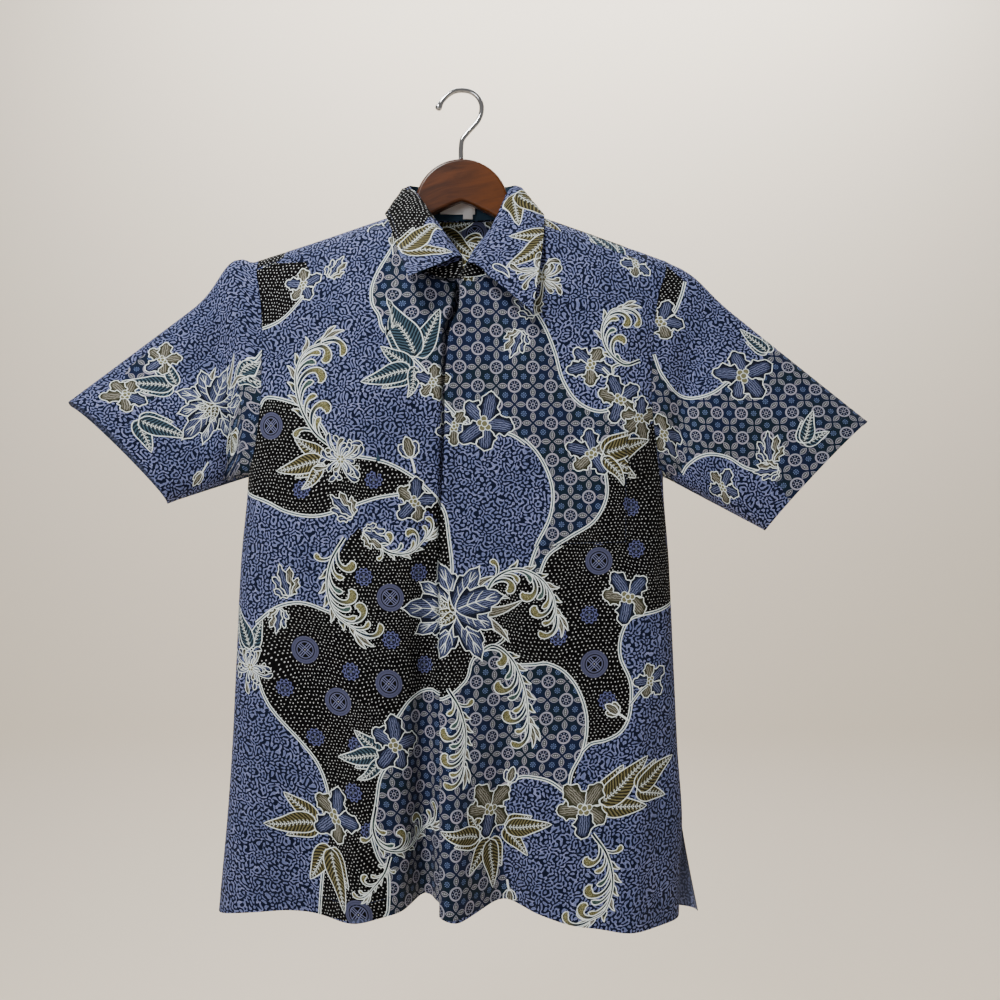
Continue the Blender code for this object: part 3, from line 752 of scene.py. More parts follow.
def normals(line, closed=False):
    if closed:
        d = np.roll(line, -1, axis=0) - np.roll(line, 1, axis=0)
    else:
        d = np.gradient(line, axis=0)
    d /= np.maximum(np.hypot(d[:, 0], d[:, 1])[:, None], 1e-9)
    return np.stack([-d[:, 1], d[:, 0]], axis=-1)


def grown(outline, by):
    """A closed outline moved out by so much (in, if negative)."""
    p = np.asarray(outline, float)
    area = np.sum(p[:, 0] * np.roll(p[:, 1], -1) - np.roll(p[:, 0], -1) * p[:, 1])
    if area < 0:
        p = p[::-1]
    return p - normals(p, True) * by


def band(line, width):
    n = normals(line)
    w = np.broadcast_to(width, (len(line),))[:, None] / 2
    return np.vstack([line + n * w, (line - n * w)[::-1]])


def vine(points, width=3.4, closed=False):
    line = smooth(points, 3.2, closed)
    if closed:
        line = np.vstack([line, line[:2]])
    # In stretches, so that a vine that crosses itself still fills.
    out = []
    for s in range(0, len(line) - 1, 8):
        out.append(Shape(band(line[s : s + 9], width), "cream"))
    for s in range(0, len(line) - 1, 8):
        out.append(Shape(band(line[s : s + 9], width * 0.36), "core"))
    return out


def along_spine(base, angle, length, bend, n=14):
    """A curved middle line: bend is how far it turns, in radians, more towards the tip."""
    t = np.linspace(0, 1, n)
    a = angle + bend * t * (0.45 + 0.55 * t)
    step = length / (n - 1)
    x = base[0] + np.concatenate([[0], np.cumsum(np.cos(a[:-1]) * step)])
    y = base[1] + np.concatenate([[0], np.cumsum(np.sin(a[:-1]) * step)])
    return np.stack([x, y], axis=-1)


def outlined(spine, half, ink, line=LINE):
    """A petal or leaf about a middle line: half is its half width at each point."""
    n = normals(spine)
    half = np.asarray(half, float)[:, None]
    outline = np.vstack([spine + n * half, (spine - n * half)[::-1]])
    outline = outline[np.concatenate([[True], np.hypot(*np.diff(outline, axis=0).T) > 0.12])]
    return [
        Shape(grown(outline, line / 2), "cream"),
        Shape(grown(outline, -line / 2), ink, spine, half[:, 0].max()),
    ]


def leaf(base, angle, length, width, bend=0.5, ink="olive"):
    t = np.linspace(0, 1, 19)
    half = width / 2 * np.sin(PI * t**0.66) ** 0.72 * (1 - 0.18 * t)
    half[0] = 0.35
    half[-1] = 0.05
    line = along_spine(base, angle, length, bend, 19)
    # The tip swings back a little, as a flame does.
    way = line[-1] - line[-4]
    side = np.array([-way[1], way[0]]) / max(np.hypot(*way), 1e-6)
    line = line - side * (np.sign(bend) * 0.27 * length * np.clip((t - 0.5) / 0.5, 0, 1) ** 2)[:, None]
    return outlined(line, half, ink)


def leaf_trio(base, angle, size, ink="olive", spread=0.85):
    """Flame-like lobes from one foot: two at the sides and the longest in the middle."""
    out = leaf(base, angle + spread, size * 0.66, size * 0.36, -1.25, ink)
    out += leaf(base, angle - spread, size * 0.76, size * 0.4, 1.2, ink)
    out += leaf(base, angle + 0.1, size, size * 0.46, 1.0, ink)
    return out


def petal(base, angle, length, width, ink, ruffle=0.09, bend=0.15, seed=0.0, line=LINE):
    """A broad petal with a ruffled edge and a blunt end."""
    t = np.linspace(0, 1, 25)
    half = width / 2 * np.sin(PI * np.clip(t, 0, 1) ** 0.86) ** 0.52
    half = half * (1 + ruffle * np.sin(t * 17 + seed) + 0.4 * ruffle * np.sin(t * 31 + 2 * seed))
    half[0] = width * 0.05
    half[-1] = width * 0.02
    spine = along_spine(base, angle, length, bend, 25)
    n = normals(spine)
    left = spine + n * half[:, None]
    wave = 1 + ruffle * 0.9 * np.sin(t * 16 + seed + 2)
    right = spine - n * (half * wave)[:, None]
    cap = spine[-1]
    outline = np.vstack([left, cap + 0.03 * length * np.array([[math.cos(angle + bend), math.sin(angle + bend)]]), right[::-1]])
    outline = outline[np.concatenate([[True], np.hypot(*np.diff(outline, axis=0).T) > 0.15])]
    return [Shape(grown(outline, line / 2), "cream"), Shape(grown(outline, -line / 2), ink, spine, width / 2)]


def orchid(centre, angle, size, inks=("slate", "slate", "slate", "khaki", "slate"), cells=True):
    """Five ruffled petals round a small cluster of cells."""
    c = np.array(centre, float)
    out = []
    lengths = (1.0, 0.86, 0.95, 0.8, 0.9)
    for k in (3, 1, 4, 2, 0):
        a = angle + k * 2 * PI / 5 + 0.16 * math.sin(3 * k + angle)
        base = c + 0.1 * size * np.array([math.cos(a), math.sin(a)])
        out += petal(base, a, size * 0.92 * lengths[k], size * 0.62, inks[k], 0.13, 0.35 * math.sin(k + angle), 1.7 * k + angle)
    if cells:
        for k in range(5):
            a = angle + 0.6 + k * 2 * PI / 5
            r = 0.0 if k == 4 else 0.15 * size
            out += disc(c + r * np.array([math.cos(a), math.sin(a)]), 0.095 * size, "cell")
    return out


def disc(centre, r, ink, n=12, line=0.7):
    a = np.linspace(0, 2 * PI, n, endpoint=False)
    ring = np.stack([np.cos(a), np.sin(a)], axis=-1)
    c = np.array(centre, float)
    return [Shape(c + ring * (r + line / 2), "cream"), Shape(c + ring * (r - line / 2), ink, [c, c + [0.01, 0]], r)]


def toothed(base, angle, length, width, ink, teeth=3, bend=0.2, seed=0.0):
    """A large pointed petal with a saw edge and branching white veins, for the lotus."""
    m = 10 * teeth + 6
    t = np.linspace(0, 1, m)
    half = width / 2 * np.sin(PI * t**0.72) ** 0.8
    saw = (t * teeth + 0.15 * math.sin(seed)) % 1.0
    half = half * (0.78 + 0.34 * saw ** 1.2) * np.clip((1 - t) * 6, 0, 1)
    half[0] = 0.3
    half[-1] = 0.05
    spine = along_spine(base, angle, length, bend, m)
    out = outlined(spine, half, ink)
    n = normals(spine)
    for side in (-1, 1):
        for k, s0 in enumerate((0.24, 0.42, 0.6)):
            i = int(s0 * (m - 1))
            i2 = min(m - 1, i + int(0.2 * m))
            reach = half[i2] * (0.72 - 0.08 * k)
            tip = spine[i2] + side * n[i2] * reach
            mid = (spine[i] + tip) / 2 + side * n[i] * reach * 0.12
            line = smooth([spine[i], mid, tip], 1.6)
            out.append(Shape(band(line, np.linspace(1.0, 0.35, len(line))), "cream"))
    line = spine[2 : int(0.86 * m)]
    out.append(Shape(band(line, np.linspace(1.25, 0.4, len(line))), "cream"))
    return out


def lotus(centre, angle, size):
    c = np.array(centre, float)
    out = []
    # Sepals and small leaves behind.
    for a, l in ((-2.0, 0.95), (-1.2, 0.85), (-1.62, 1.02), (-0.75, 0.8)):
        out += leaf(c, angle + a, size * l, size * 0.2, 0.35 * math.sin(5 * a), "khaki")
    for a, l, w in ((2.75, 0.82, 0.4), (-2.65, 0.9, 0.42), (0.15, 0.88, 0.42), (1.95, 0.84, 0.4), (0.75, 0.8, 0.38), (1.38, 0.98, 0.5)):
        out += toothed(c, angle + a, size * l, size * w, "slate", 3, 0.25 * math.cos(a), a)
    for a, l in ((0.9, 0.38), (1.5, 0.42), (2.1, 0.36), (0.2, 0.34)):
        out += leaf(c, angle + a, size * l, size * 0.17, 0.1, "olive")
    for a, l, w in ((-2.05, 0.72, 0.42), (-0.55, 0.8, 0.44), (-1.3, 0.84, 0.5)):
        out += toothed(c + 0.05 * size * np.array([math.cos(angle), math.sin(angle)]), angle + a, size * l, size * w, "slate", 3, 0.3 * math.sin(a), a + 1)
    return out


def curl(base, angle, length, bend, width, ink="plume", line=0.9, bulb=1.0):
    """A scroll that starts fine, sweeps out and ends in a rolled, round head."""
    n = 23
    t = np.linspace(0, 1, n)
    a = angle + bend * (0.32 * t + 0.68 * t**3.2)
    step = length / (n - 1)
    spine = np.stack([
        base[0] + np.concatenate([[0], np.cumsum(np.cos(a[:-1]) * step)]),
        base[1] + np.concatenate([[0], np.cumsum(np.sin(a[:-1]) * step)]),
    ], axis=-1)
    half = width / 2 * (0.34 + 0.42 * t + 0.42 * bulb * np.exp(-(((t - 0.84) / 0.15) ** 2)))
    half *= np.sqrt(np.clip((1 - t) / 0.12, 0.0, 1))
    half[-1] = 0.05
    return outlined(spine, half, ink, line)


def mum(centre, angle, size, ink="slate", fingers=15):
    """A chrysanthemum of narrow fingers with rolled tips."""
    c = np.array(centre, float)
    out = []
    for ring_, (reach, count) in enumerate(((1.12, fingers), (0.74, fingers - 4))):
        for k in range(count):
            a = angle + 2 * PI * k / count + 0.3 * ring_
            long_ = size * reach * (0.85 + 0.15 * math.sin(4.1 * k + ring_))
            turn = 2.4 * math.copysign(1, math.sin(2.3 * k + ring_ + angle)) * (0.7 + 0.3 * math.sin(3.7 * k))
            out += curl(c, a, long_, turn, size * 0.15, "khaki" if (k + ring_) % 4 == 0 else ink, 0.8, 1.1)
    for k in range(6):
        out += disc(c + 0.1 * size * np.array([math.cos(k * 1.05), math.sin(k * 1.05)]), 0.065 * size, "cell", 9, 0.6)
    return out


def plume(points, size, side=1, lobes=9, tip=1.9, ink="plume"):
    """An acanthus scroll: nested rolled lobes along its inner side, small blades along the outer, a fan at the end."""
    line = smooth(points, 2.5)
    lobes, size = max(4, round(lobes * 0.78)), size * 1.14
    run = np.concatenate([[0], np.cumsum(np.hypot(*np.diff(line, axis=0).T))])
    total = run[-1]

    def at(s):
        x, y = np.interp(s * total, run, line[:, 0]), np.interp(s * total, run, line[:, 1])
        k = min(int(np.searchsorted(run, s * total)), len(line) - 2)
        d = line[k + 1] - line[k]
        return np.array([x, y]), math.atan2(d[1], d[0])

    out = []
    blades = max(4, lobes - 2)
    for k in range(blades):
        s = 0.34 + 0.6 * k / (blades - 1)
        p, a = at(s)
        out += leaf(p, a - side * 0.5, size * (0.5 + 0.1 * math.sin(3 * k)), size * 0.19, side * 0.3, "khaki" if k % 2 else ink)
    p, a = at(1.0)
    for turn, reach in ((-0.62, 0.72), (-0.22, 0.86), (0.2, 0.78)):
        out += leaf(p, a - side * turn * -1, size * reach, size * 0.24, -side * 0.25, "khaki" if turn < 0 else ink)
    for k in range(lobes):
        s = 0.94 - 0.84 * k / (lobes - 1)
        p, a = at(s)
        big = k % 3 == 1
        reach = size * (0.86 + 0.34 * math.sin(PI * s)) * (1.5 if big else 0.95)
        roll = 4.7 if big else 2.4 + 0.5 * math.sin(2.1 * k)
        out += curl(p, a + side * 0.22, reach, side * roll, size * (0.27 if big else 0.19), ink if k % 2 == 0 or big else "core_leaf", 1.1, bulb=1.4 if big else 0.8)
    p, a = at(1.0)
    out += curl(p, a + side * 0.05, size * 1.35, side * tip * 1.9, size * 0.25, ink, bulb=0.7)
    # A lone tendril from the outer side.
    p, a = at(0.2)
    out += curl(p, a - side * 0.45, size * 0.85, -side * 2.9, size * 0.2, ink, bulb=1.0)
    stem_w = np.linspace(4.0, 2.4, len(line))
    for k in range(0, len(line) - 1, 8):
        out.append(Shape(band(line[k : k + 9], stem_w[k : k + 9]), "cream"))
    for k in range(0, len(line) - 1, 8):
        out.append(Shape(band(line[k : k + 9], stem_w[k : k + 9] - 1.8), "core_leaf", line[k : k + 9], 1.0))
    return out


def bud(base, angle, size, ink="slate"):
    out = []
    tip = along_spine(base, angle, size * 0.5, 0.3, 6)
    out.append(Shape(band(tip, 2.2), "cream"))
    for a, l in ((0.55, 0.5), (-0.55, 0.5), (0.0, 0.62)):
        out += petal(tip[-1], angle + a, size * l, size * 0.32, ink if a else "khaki", 0.05, 0.2, a)
    return out


def sprig(base, angle, size, ink="khaki"):
    """A small oak-like leaf spray of the meander kind."""
    out = []
    for k, a in enumerate((0.9, -0.9, 0.35, -0.4, 0.0)):
        out += petal(base, angle + a, size * (0.5 + 0.12 * k), size * 0.26, ink if k % 2 else "slate", 0.22, 0.2 * math.sin(k), 2.1 * k, 0.9)
    return out


def round_mark(centre, r, ink):
    a = np.linspace(0, 2 * PI, 30, endpoint=False)
    c = np.array(centre, float)
    return [Shape(c + np.stack([np.cos(a), np.sin(a)], axis=-1) * r, ink, [c, c + [0.01, 0]], r)]


def ground(points, ink, edge=True, gaps=()):
    """A field of another ground, with a vine round it."""
    line = smooth(points, 4.0, True)
    out = [Shape(line, ink)]
    if edge:
        out += vine(points, closed=True)
    return out


# =====================================================================
# 3. From a sheet and its print to a piece of cloth
# =====================================================================
def inside(points, poly):
    """Points inside an anticlockwise outline (winding above zero)."""
    x, y = points[:, 0:1], points[:, 1:2]
    ax, ay = poly[:, 0][None], poly[:, 1][None]
    b = np.roll(poly, -1, axis=0)
    bx, by = b[:, 0][None], b[:, 1][None]
    left = (bx - ax) * (y - ay) - (x - ax) * (by - ay)
    up = (ay <= y) & (by > y) & (left > 0)
    down = (ay > y) & (by <= y) & (left < 0)
    return (up.sum(axis=1) - down.sum(axis=1)) > 0


def top_shape(points, shapes):
    top = np.full(len(points), -1)
    order = np.argsort(points[:, 0])
    xs = points[order, 0]
    for k, s in enumerate(shapes):
        lo, hi = s.p.min(axis=0), s.p.max(axis=0)
        a, b = np.searchsorted(xs, lo[0]), np.searchsorted(xs, hi[0])
        if a == b:
            continue
        near = order[a:b]
        y = points[near, 1]
        near = near[(y >= lo[1]) & (y <= hi[1])]
        if len(near):
            top[near[inside(points[near], s.p)]] = k
    return top


def triangulate(loop, loose, shapes):
    coords = [loop, loose] + [s.p for s in shapes]
    edges = [(k, (k + 1) % len(loop)) for k in range(len(loop))]
    at = len(loop) + len(loose)
    for s in shapes:
        n = len(s.p)
        edges += [(at + k, at + (k + 1) % n) for k in range(n)]
        at += n
    pts = [Vector((float(x), float(y))) for x, y in np.vstack([c for c in coords if len(c)])]
    v, _, f, orig, _, _ = delaunay_2d_cdt(pts, edges, [], 0, 0.004, True)
    v = np.array([tuple(p) for p in v])
    f = np.array(f, dtype=int).reshape(-1, 3)
    mid = v[f].mean(axis=1)
    keep = inside_big(mid, loop)
    a = v[f]
    area = (a[:, 1, 0] - a[:, 0, 0]) * (a[:, 2, 1] - a[:, 0, 1]) - (a[:, 1, 1] - a[:, 0, 1]) * (a[:, 2, 0] - a[:, 0, 0])
    f = f[keep & (np.abs(area) > 1e-6)]
    area = area[keep & (np.abs(area) > 1e-6)]
    f[area < 0] = f[area < 0][:, ::-1]
    return v, f, orig


def inside_big(points, loop):
    out = np.zeros(len(points), bool)
    for s in range(0, len(points), 8000):
        out[s : s + 8000] = inside(points[s : s + 8000], loop)
    return out


def lattice_points(loop, step, shapes=()):
    lo, hi = loop.min(axis=0), loop.max(axis=0)
    rows = np.arange(lo[1] + step / 2, hi[1], step * 0.87)
    out = []
    for k, y in enumerate(rows):
        xs = np.arange(lo[0] + (step / 2 if k % 2 else step), hi[0], step)
        out.append(np.stack([xs, np.full(len(xs), y)], axis=-1))
    pts = np.vstack(out)
    pts = pts[inside_big(pts, loop)]
    cell = 1.9
    taken = set()
    for p in [loop] + [s.p for s in shapes]:
        for dx in (-0.5, 0.5):
            for dy in (-0.5, 0.5):
                taken.update(zip(*(np.floor(p / cell + [dx, dy]).astype(int).T)))
    cells = np.floor(pts / cell).astype(int)
    keep = np.array([tuple(c) not in taken for c in cells])
    return pts[keep]


def spine_coords(points, spine):
    """Distance along and to the side of a middle line."""
    if len(spine) == 2:
        d = points - spine[0]
        return d[:, 0], d[:, 1]
    a, b = spine[:-1], spine[1:]
    d = b - a
    length = np.hypot(d[:, 0], d[:, 1])
    rel = points[:, None] - a[None]
    t = (rel * d[None]).sum(axis=2) / np.maximum(length**2, 1e-9)[None]
    lim = np.clip(t, 0, 1)
    lim[:, 0] = np.minimum(t[:, 0], 1)
    lim[:, -1] = np.maximum(t[:, -1], 0)
    near = rel - lim[..., None] * d[None]
    dist = np.hypot(near[..., 0], near[..., 1])
    k = dist.argmin(axis=1)
    i = np.arange(len(points))
    run = np.concatenate([[0], np.cumsum(length)])[:-1]
    s = run[k] + lim[i, k] * length[k]
    side = np.sign(d[k, 0] * rel[i, k, 1] - d[k, 1] * rel[i, k, 0])
    return s, side * dist[i, k]


def boundary_loop(faces):
    nxt = {}
    seen = {}
    for f in faces:
        for k in range(3):
            seen[(f[k], f[(k + 1) % 3])] = True
    for a, b in seen:
        if (b, a) not in seen:
            nxt[a] = b
    loops = []
    left = dict(nxt)
    while left:
        start = next(iter(left))
        loop = [start]
        cur = left.pop(start)
        while cur != start and cur in left:
            loop.append(cur)
            cur = left.pop(cur)
        loops.append(loop)
    return max(loops, key=len)


def cloth(name, sheet, shapes, base="curls", step=5.0, inner_step=5.0, thick=0.8, relief=None,
          inner_shapes=(), inner_base="reverse", edge_thick=None, loop_step=3.0, rim_ink="core"):
    loop = sheet.border(loop_step)
    lo, hi = loop.min(axis=0) - 1, loop.max(axis=0) + 1
    shapes = [s for s in shapes if (s.p.max(axis=0) > lo).all() and (s.p.min(axis=0) < hi).all()]
    v, f, _ = triangulate(loop, lattice_points(loop, step, shapes), shapes)
    used = np.unique(f)
    remap = np.full(len(v), -1)
    remap[used] = np.arange(len(used))
    v, f = v[used], remap[f]
    top = top_shape(v[f].mean(axis=1), shapes)

    edge = boundary_loop(f)
    rim = v[edge]
    if inner_shapes:
        inner_shapes = [s for s in inner_shapes if (s.p.max(axis=0) > lo).all() and (s.p.min(axis=0) < hi).all()]
    iv, if_, orig = triangulate(rim, lattice_points(rim, inner_step, inner_shapes), list(inner_shapes))
    to_edge = np.full(len(iv), -1)
    for k, o in enumerate(orig):
        for i in o:
            if i < len(rim):
                to_edge[k] = i
    itop = top_shape(iv[if_].mean(axis=1), inner_shapes) if inner_shapes else np.full(len(if_), -1)
    iused = np.unique(if_)
    # Inner rim vertices come first, in the loop's order.
    inner_uv = [rim]
    imap = np.full(len(iv), -1)
    extra = []
    for k in iused:
        if to_edge[k] >= 0:
            imap[k] = to_edge[k]
        else:
            imap[k] = len(rim) + len(extra)
            extra.append(iv[k])
    inner_uv = np.vstack([rim] + ([np.array(extra)] if extra else []))
    if_ = imap[if_]

    n_out = len(v)
    uv = np.vstack([v, inner_uv])
    r, c = sheet.find(uv[:, 0], uv[:, 1])
    p = sheet.sample(sheet.p, r, c)
    n = sheet.sample(sheet.n, r, c)
    n /= np.linalg.norm(n, axis=1)[:, None]
    lift = np.zeros(len(uv)) if relief is None else relief(uv[:, 0], uv[:, 1], r / (sheet.u.shape[0] - 1), c / (sheet.u.shape[1] - 1))
    t = np.full(len(uv), thick)
    if edge_thick is not None:
        t = t + edge_thick(r / (sheet.u.shape[0] - 1), c / (sheet.u.shape[1] - 1), uv)
    p[:n_out] += n[:n_out] * lift[:n_out, None]
    p[n_out:] -= n[n_out:] * t[n_out:, None]
    normal = n.copy()
    normal[n_out:] *= -1

    flip = sheet.hand < 0
    outer = f[:, ::-1] if flip else f
    inner = (if_ if flip else if_[:, ::-1]) + n_out
    m = len(edge)
    a = np.array(edge)
    b = np.roll(a, -1)
    ia = n_out + np.arange(m)
    ib = np.roll(ia, -1)
    quads = np.stack([b, a, ia, ib], axis=-1) if not flip else np.stack([a, b, ib, ia], axis=-1)

    mesh = bpy.data.meshes.new(name)
    faces = [tuple(x) for x in outer.tolist()] + [tuple(x) for x in inner.tolist()] + [tuple(x) for x in quads.tolist()]
    mesh.from_pydata((p * MM).tolist(), [], faces)
    ink_of = [INK[s.ink] for s in shapes]
    mats = np.array([ink_of[k] if k >= 0 else INK[base] for k in top], dtype=int)
    ink_in = [INK[s.ink] for s in inner_shapes]
    imats = np.array([ink_in[k] if k >= 0 else INK[inner_base] for k in itop], dtype=int)
    mats = np.concatenate([mats, imats, np.full(m, INK[rim_ink])])
    mesh.polygons.foreach_set("material_index", mats)
    mesh.polygons.foreach_set("use_smooth", np.ones(len(faces), bool))

    corner = np.concatenate([outer.ravel(), inner.ravel(), quads.ravel()])
    cuv = uv[corner]
    layer = mesh.uv_layers.new(name="Cloth")
    layer.data.foreach_set("uv", cuv.astype(np.float32).ravel())
    petal_uv = np.zeros((len(corner), 2))
    norm_uv = np.zeros((len(corner), 2))
    for group, tops, start, pool in ((outer, top, 0, shapes), (inner, itop, len(outer) * 3, inner_shapes)):
        order = np.argsort(tops, kind="stable")
        cuts = np.searchsorted(tops[order], np.arange(len(pool) + 1))
        for k, s in enumerate(pool):
            if s.spine is None or cuts[k] == cuts[k + 1]:
                continue
            tri = order[cuts[k] : cuts[k + 1]]
            where = (start + tri[:, None] * 3 + np.arange(3)[None]).ravel()
            along_, across = spine_coords(cuv[where], s.spine)
            petal_uv[where, 0], petal_uv[where, 1] = along_, across
            total = max(np.hypot(*np.diff(s.spine, axis=0).T).sum(), 0.5)
            norm_uv[where, 0] = along_ / total
            norm_uv[where, 1] = across / max(s.half or 1.0, 0.2)
    for label, data in (("Petal", petal_uv), ("Norm", norm_uv)):
        layer = mesh.uv_layers.new(name=label)
        layer.data.foreach_set("uv", data.astype(np.float32).ravel())
    span = uv.max(axis=0) - uv.min(axis=0)
    unit = (cuv - uv.min(axis=0)) / span
    bake = unit.copy()
    bake[:, 0] = unit[:, 0] * 0.68 + 0.004
    first, last = len(outer) * 3, len(outer) * 3 + len(inner) * 3
    bake[first:last, 0] = 0.7 + unit[first:last, 0] * 0.295
    bake[:, 1] = bake[:, 1] * 0.99 + 0.005
    layer = mesh.uv_layers.new(name="OFBake")
    layer.data.foreach_set("uv", bake.astype(np.float32).ravel())
    mesh.update()
    mesh.normals_split_custom_set_from_vertices(normal.tolist())
    for ink in INKS:
        mesh.materials.append(MATERIALS[ink])
    obj = bpy.data.objects.new(name, mesh)
    bpy.context.scene.collection.objects.link(obj)
    flat = loop
    area = 0.5 * abs(np.sum(flat[:, 0] * np.roll(flat[:, 1], -1) - np.roll(flat[:, 0], -1) * flat[:, 1])) * 1e-6
    size = (loop.max(axis=0) - loop.min(axis=0)) * MM
    print(f"{name}: {len(faces)} faces, {len(shapes)} shapes, flat {size[0]:.3f} x {size[1]:.3f} m, area {area:.4f}")
    return obj, (float(size[0]), float(size[1])), float(area)


# =====================================================================
# 4. Materials
# =====================================================================
class Sock:
    """A shader value that can be added, multiplied and compared."""

    def __init__(self, tree, value):
        self.t, self.s = tree, value

    def _math(self, op, other=None, third=None, clamp=False):
        node = self.t.nodes.new("ShaderNodeMath")
        node.operation = op
        node.use_clamp = clamp
        for i, v in enumerate((self, other, third)):
            if v is None:
                continue
            if isinstance(v, Sock):
                self.t.links.new(v.s, node.inputs[i])
            else:
                node.inputs[i].default_value = v
        return Sock(self.t, node.outputs[0])

    def __add__(self, o): return self._math("ADD", o)
    def __radd__(self, o): return self._math("ADD", o)
    def __sub__(self, o): return self._math("SUBTRACT", o)
    def __rsub__(self, o): return (self * -1.0) + o
    def __mul__(self, o): return self._math("MULTIPLY", o)
    def __rmul__(self, o): return self._math("MULTIPLY", o)
    def __truediv__(self, o): return self._math("DIVIDE", o)
    def __pow__(self, o): return self._math("POWER", o)
    def abs(self): return self._math("ABSOLUTE")
    def fract(self): return self._math("FRACT")
    def floor(self): return self._math("FLOOR")
    def sin(self): return self._math("SINE")
    def cos(self): return self._math("COSINE")
    def sqrt(self): return self._math("SQRT")
    def min(self, o): return self._math("MINIMUM", o)
    def max(self, o): return self._math("MAXIMUM", o)
    def atan2(self, o): return self._math("ARCTAN2", o)
    def mod(self, o): return self._math("FLOORED_MODULO", o)
    def clamp(self): return self._math("ADD", 0.0, clamp=True)

    def step(self, lo, hi):
        """0 below lo, 1 above hi, smooth between."""
        node = self.t.nodes.new("ShaderNodeMapRange")
        node.interpolation_type = "SMOOTHSTEP"
        self.t.links.new(self.s, node.inputs["Value"])
        node.inputs["From Min"].default_value = min(lo, hi)
        node.inputs["From Max"].default_value = max(lo, hi)
        node.inputs["To Min"].default_value = 0.0 if hi > lo else 1.0
        node.inputs["To Max"].default_value = 1.0 if hi > lo else 0.0
        return Sock(self.t, node.outputs["Result"])


def length2(x, y):
    return (x * x + y * y).sqrt()


def srgb(code):
    def lin(v):
        v /= 255
        return v / 12.92 if v <= 0.04045 else ((v + 0.055) / 1.055) ** 2.4
    return tuple(lin(int(code[k : k + 2], 16)) for k in (1, 3, 5)) + (1.0,)


class Paint:
    """One printed-cloth material under construction."""

    def __init__(self, name):
        self.m = bpy.data.materials.new(name)
        self.m.use_nodes = True
        self.t = self.m.node_tree
        self.bsdf = self.t.nodes["Principled BSDF"]
        self._uv = {}

    def uv(self, name):
        if name not in self._uv:
            node = self.t.nodes.new("ShaderNodeUVMap")
            node.uv_map = name
            split = self.t.nodes.new("ShaderNodeSeparateXYZ")
            self.t.links.new(node.outputs[0], split.inputs[0])
            self._uv[name] = (Sock(self.t, split.outputs[0]), Sock(self.t, split.outputs[1]))
        return self._uv[name]

    def vector(self, x, y, z=0.0):
        node = self.t.nodes.new("ShaderNodeCombineXYZ")
        for i, v in enumerate((x, y, z)):
            if isinstance(v, Sock):
                self.t.links.new(v.s, node.inputs[i])
            else:
                node.inputs[i].default_value = v
        return node.outputs[0]

    def noise(self, x, y, scale, detail=0.0, rough=0.5, z=0.0, distort=0.0, kind="Fac"):
        node = self.t.nodes.new("ShaderNodeTexNoise")
        node.noise_dimensions = "3D"
        node.inputs["Scale"].default_value = scale
        node.inputs["Detail"].default_value = detail
        node.inputs["Roughness"].default_value = rough
        node.inputs["Distortion"].default_value = distort
        self.t.links.new(self.vector(x, y, z), node.inputs["Vector"])
        return Sock(self.t, node.outputs[0])

    def white(self, x, y, z):
        """One random number for each whole-numbered place."""
        node = self.t.nodes.new("ShaderNodeTexWhiteNoise")
        node.noise_dimensions = "3D"
        self.t.links.new(self.vector(x, y, z), node.inputs["Vector"])
        return Sock(self.t, node.outputs["Value"])

    def mix(self, fac, a, b):
        node = self.t.nodes.new("ShaderNodeMix")
        node.data_type = "RGBA"
        if isinstance(fac, Sock):
            self.t.links.new(fac.s, node.inputs[0])
        else:
            node.inputs[0].default_value = fac
        for i, v in ((6, a), (7, b)):
            if isinstance(v, Sock):
                self.t.links.new(v.s, node.inputs[i])
            else:
                node.inputs[i].default_value = v
        return Sock(self.t, node.outputs[2])

    def times(self, colour, fac):
        """The colour made lighter or darker by a value."""
        node = self.t.nodes.new("ShaderNodeVectorMath")
        node.operation = "SCALE"
        self.t.links.new(colour.s, node.inputs[0])
        self.t.links.new(fac.s, node.inputs["Scale"])
        return Sock(self.t, node.outputs[0])

    def cotton(self, colour, sheen=0.05, rough=0.86, print_depth=None):
        """The plain weave under every ink: fine threads, slubs, soft unevenness of the dye, small crumples."""
        x, y = self.uv("Cloth")
        warp = (x * (2 * PI / 0.62)).sin()
        weft = (y * (2 * PI / 0.66)).sin()
        over = warp * weft
        slub = self.noise(x * 0.25, y * 1.6, 1.0, 2.0, 0.6, 3.0) - 0.5
        slub2 = self.noise(x * 1.6, y * 0.22, 1.0, 2.0, 0.6, 9.0) - 0.5
        mottled = self.noise(x, y, 0.03, 3.0, 0.6, 5.0) - 0.5
        shade = over * 0.05 + slub * 0.2 + slub2 * 0.18 + mottled * 0.16 + 1.0
        if not isinstance(colour, Sock):
            node = self.t.nodes.new("ShaderNodeRGB")
            node.outputs[0].default_value = colour
            colour = Sock(self.t, node.outputs[0])
        colour = self.times(colour, shade)
        self.t.links.new(colour.s, self.bsdf.inputs["Base Color"])
        self.bsdf.inputs["Roughness"].default_value = rough
        self.bsdf.inputs["Specular IOR Level"].default_value = 0.1
        self.bsdf.inputs["Sheen Weight"].default_value = sheen
        self.bsdf.inputs["Sheen Roughness"].default_value = 0.5
        soft = self.noise(x, y * 0.55, 0.034, 2.0, 0.5, 2.0, 0.6)
        fold = self.noise(x * 1.3 + y * 0.35, y * 0.3 - x * 0.2, 0.05, 1.0, 0.5, 21.0, 0.3)
        height = over * 0.03 + slub * 0.06 + slub2 * 0.06 + soft * 2.6 + fold * 1.7
        if print_depth is not None:
            height = height + print_depth * 0.03
        bump = self.t.nodes.new("ShaderNodeBump")
        bump.inputs["Strength"].default_value = 0.8
        bump.inputs["Distance"].default_value = 0.001
        self.t.links.new(height.s, bump.inputs["Height"])
        self.t.links.new(bump.outputs[0], self.bsdf.inputs["Normal"])
        return self.m


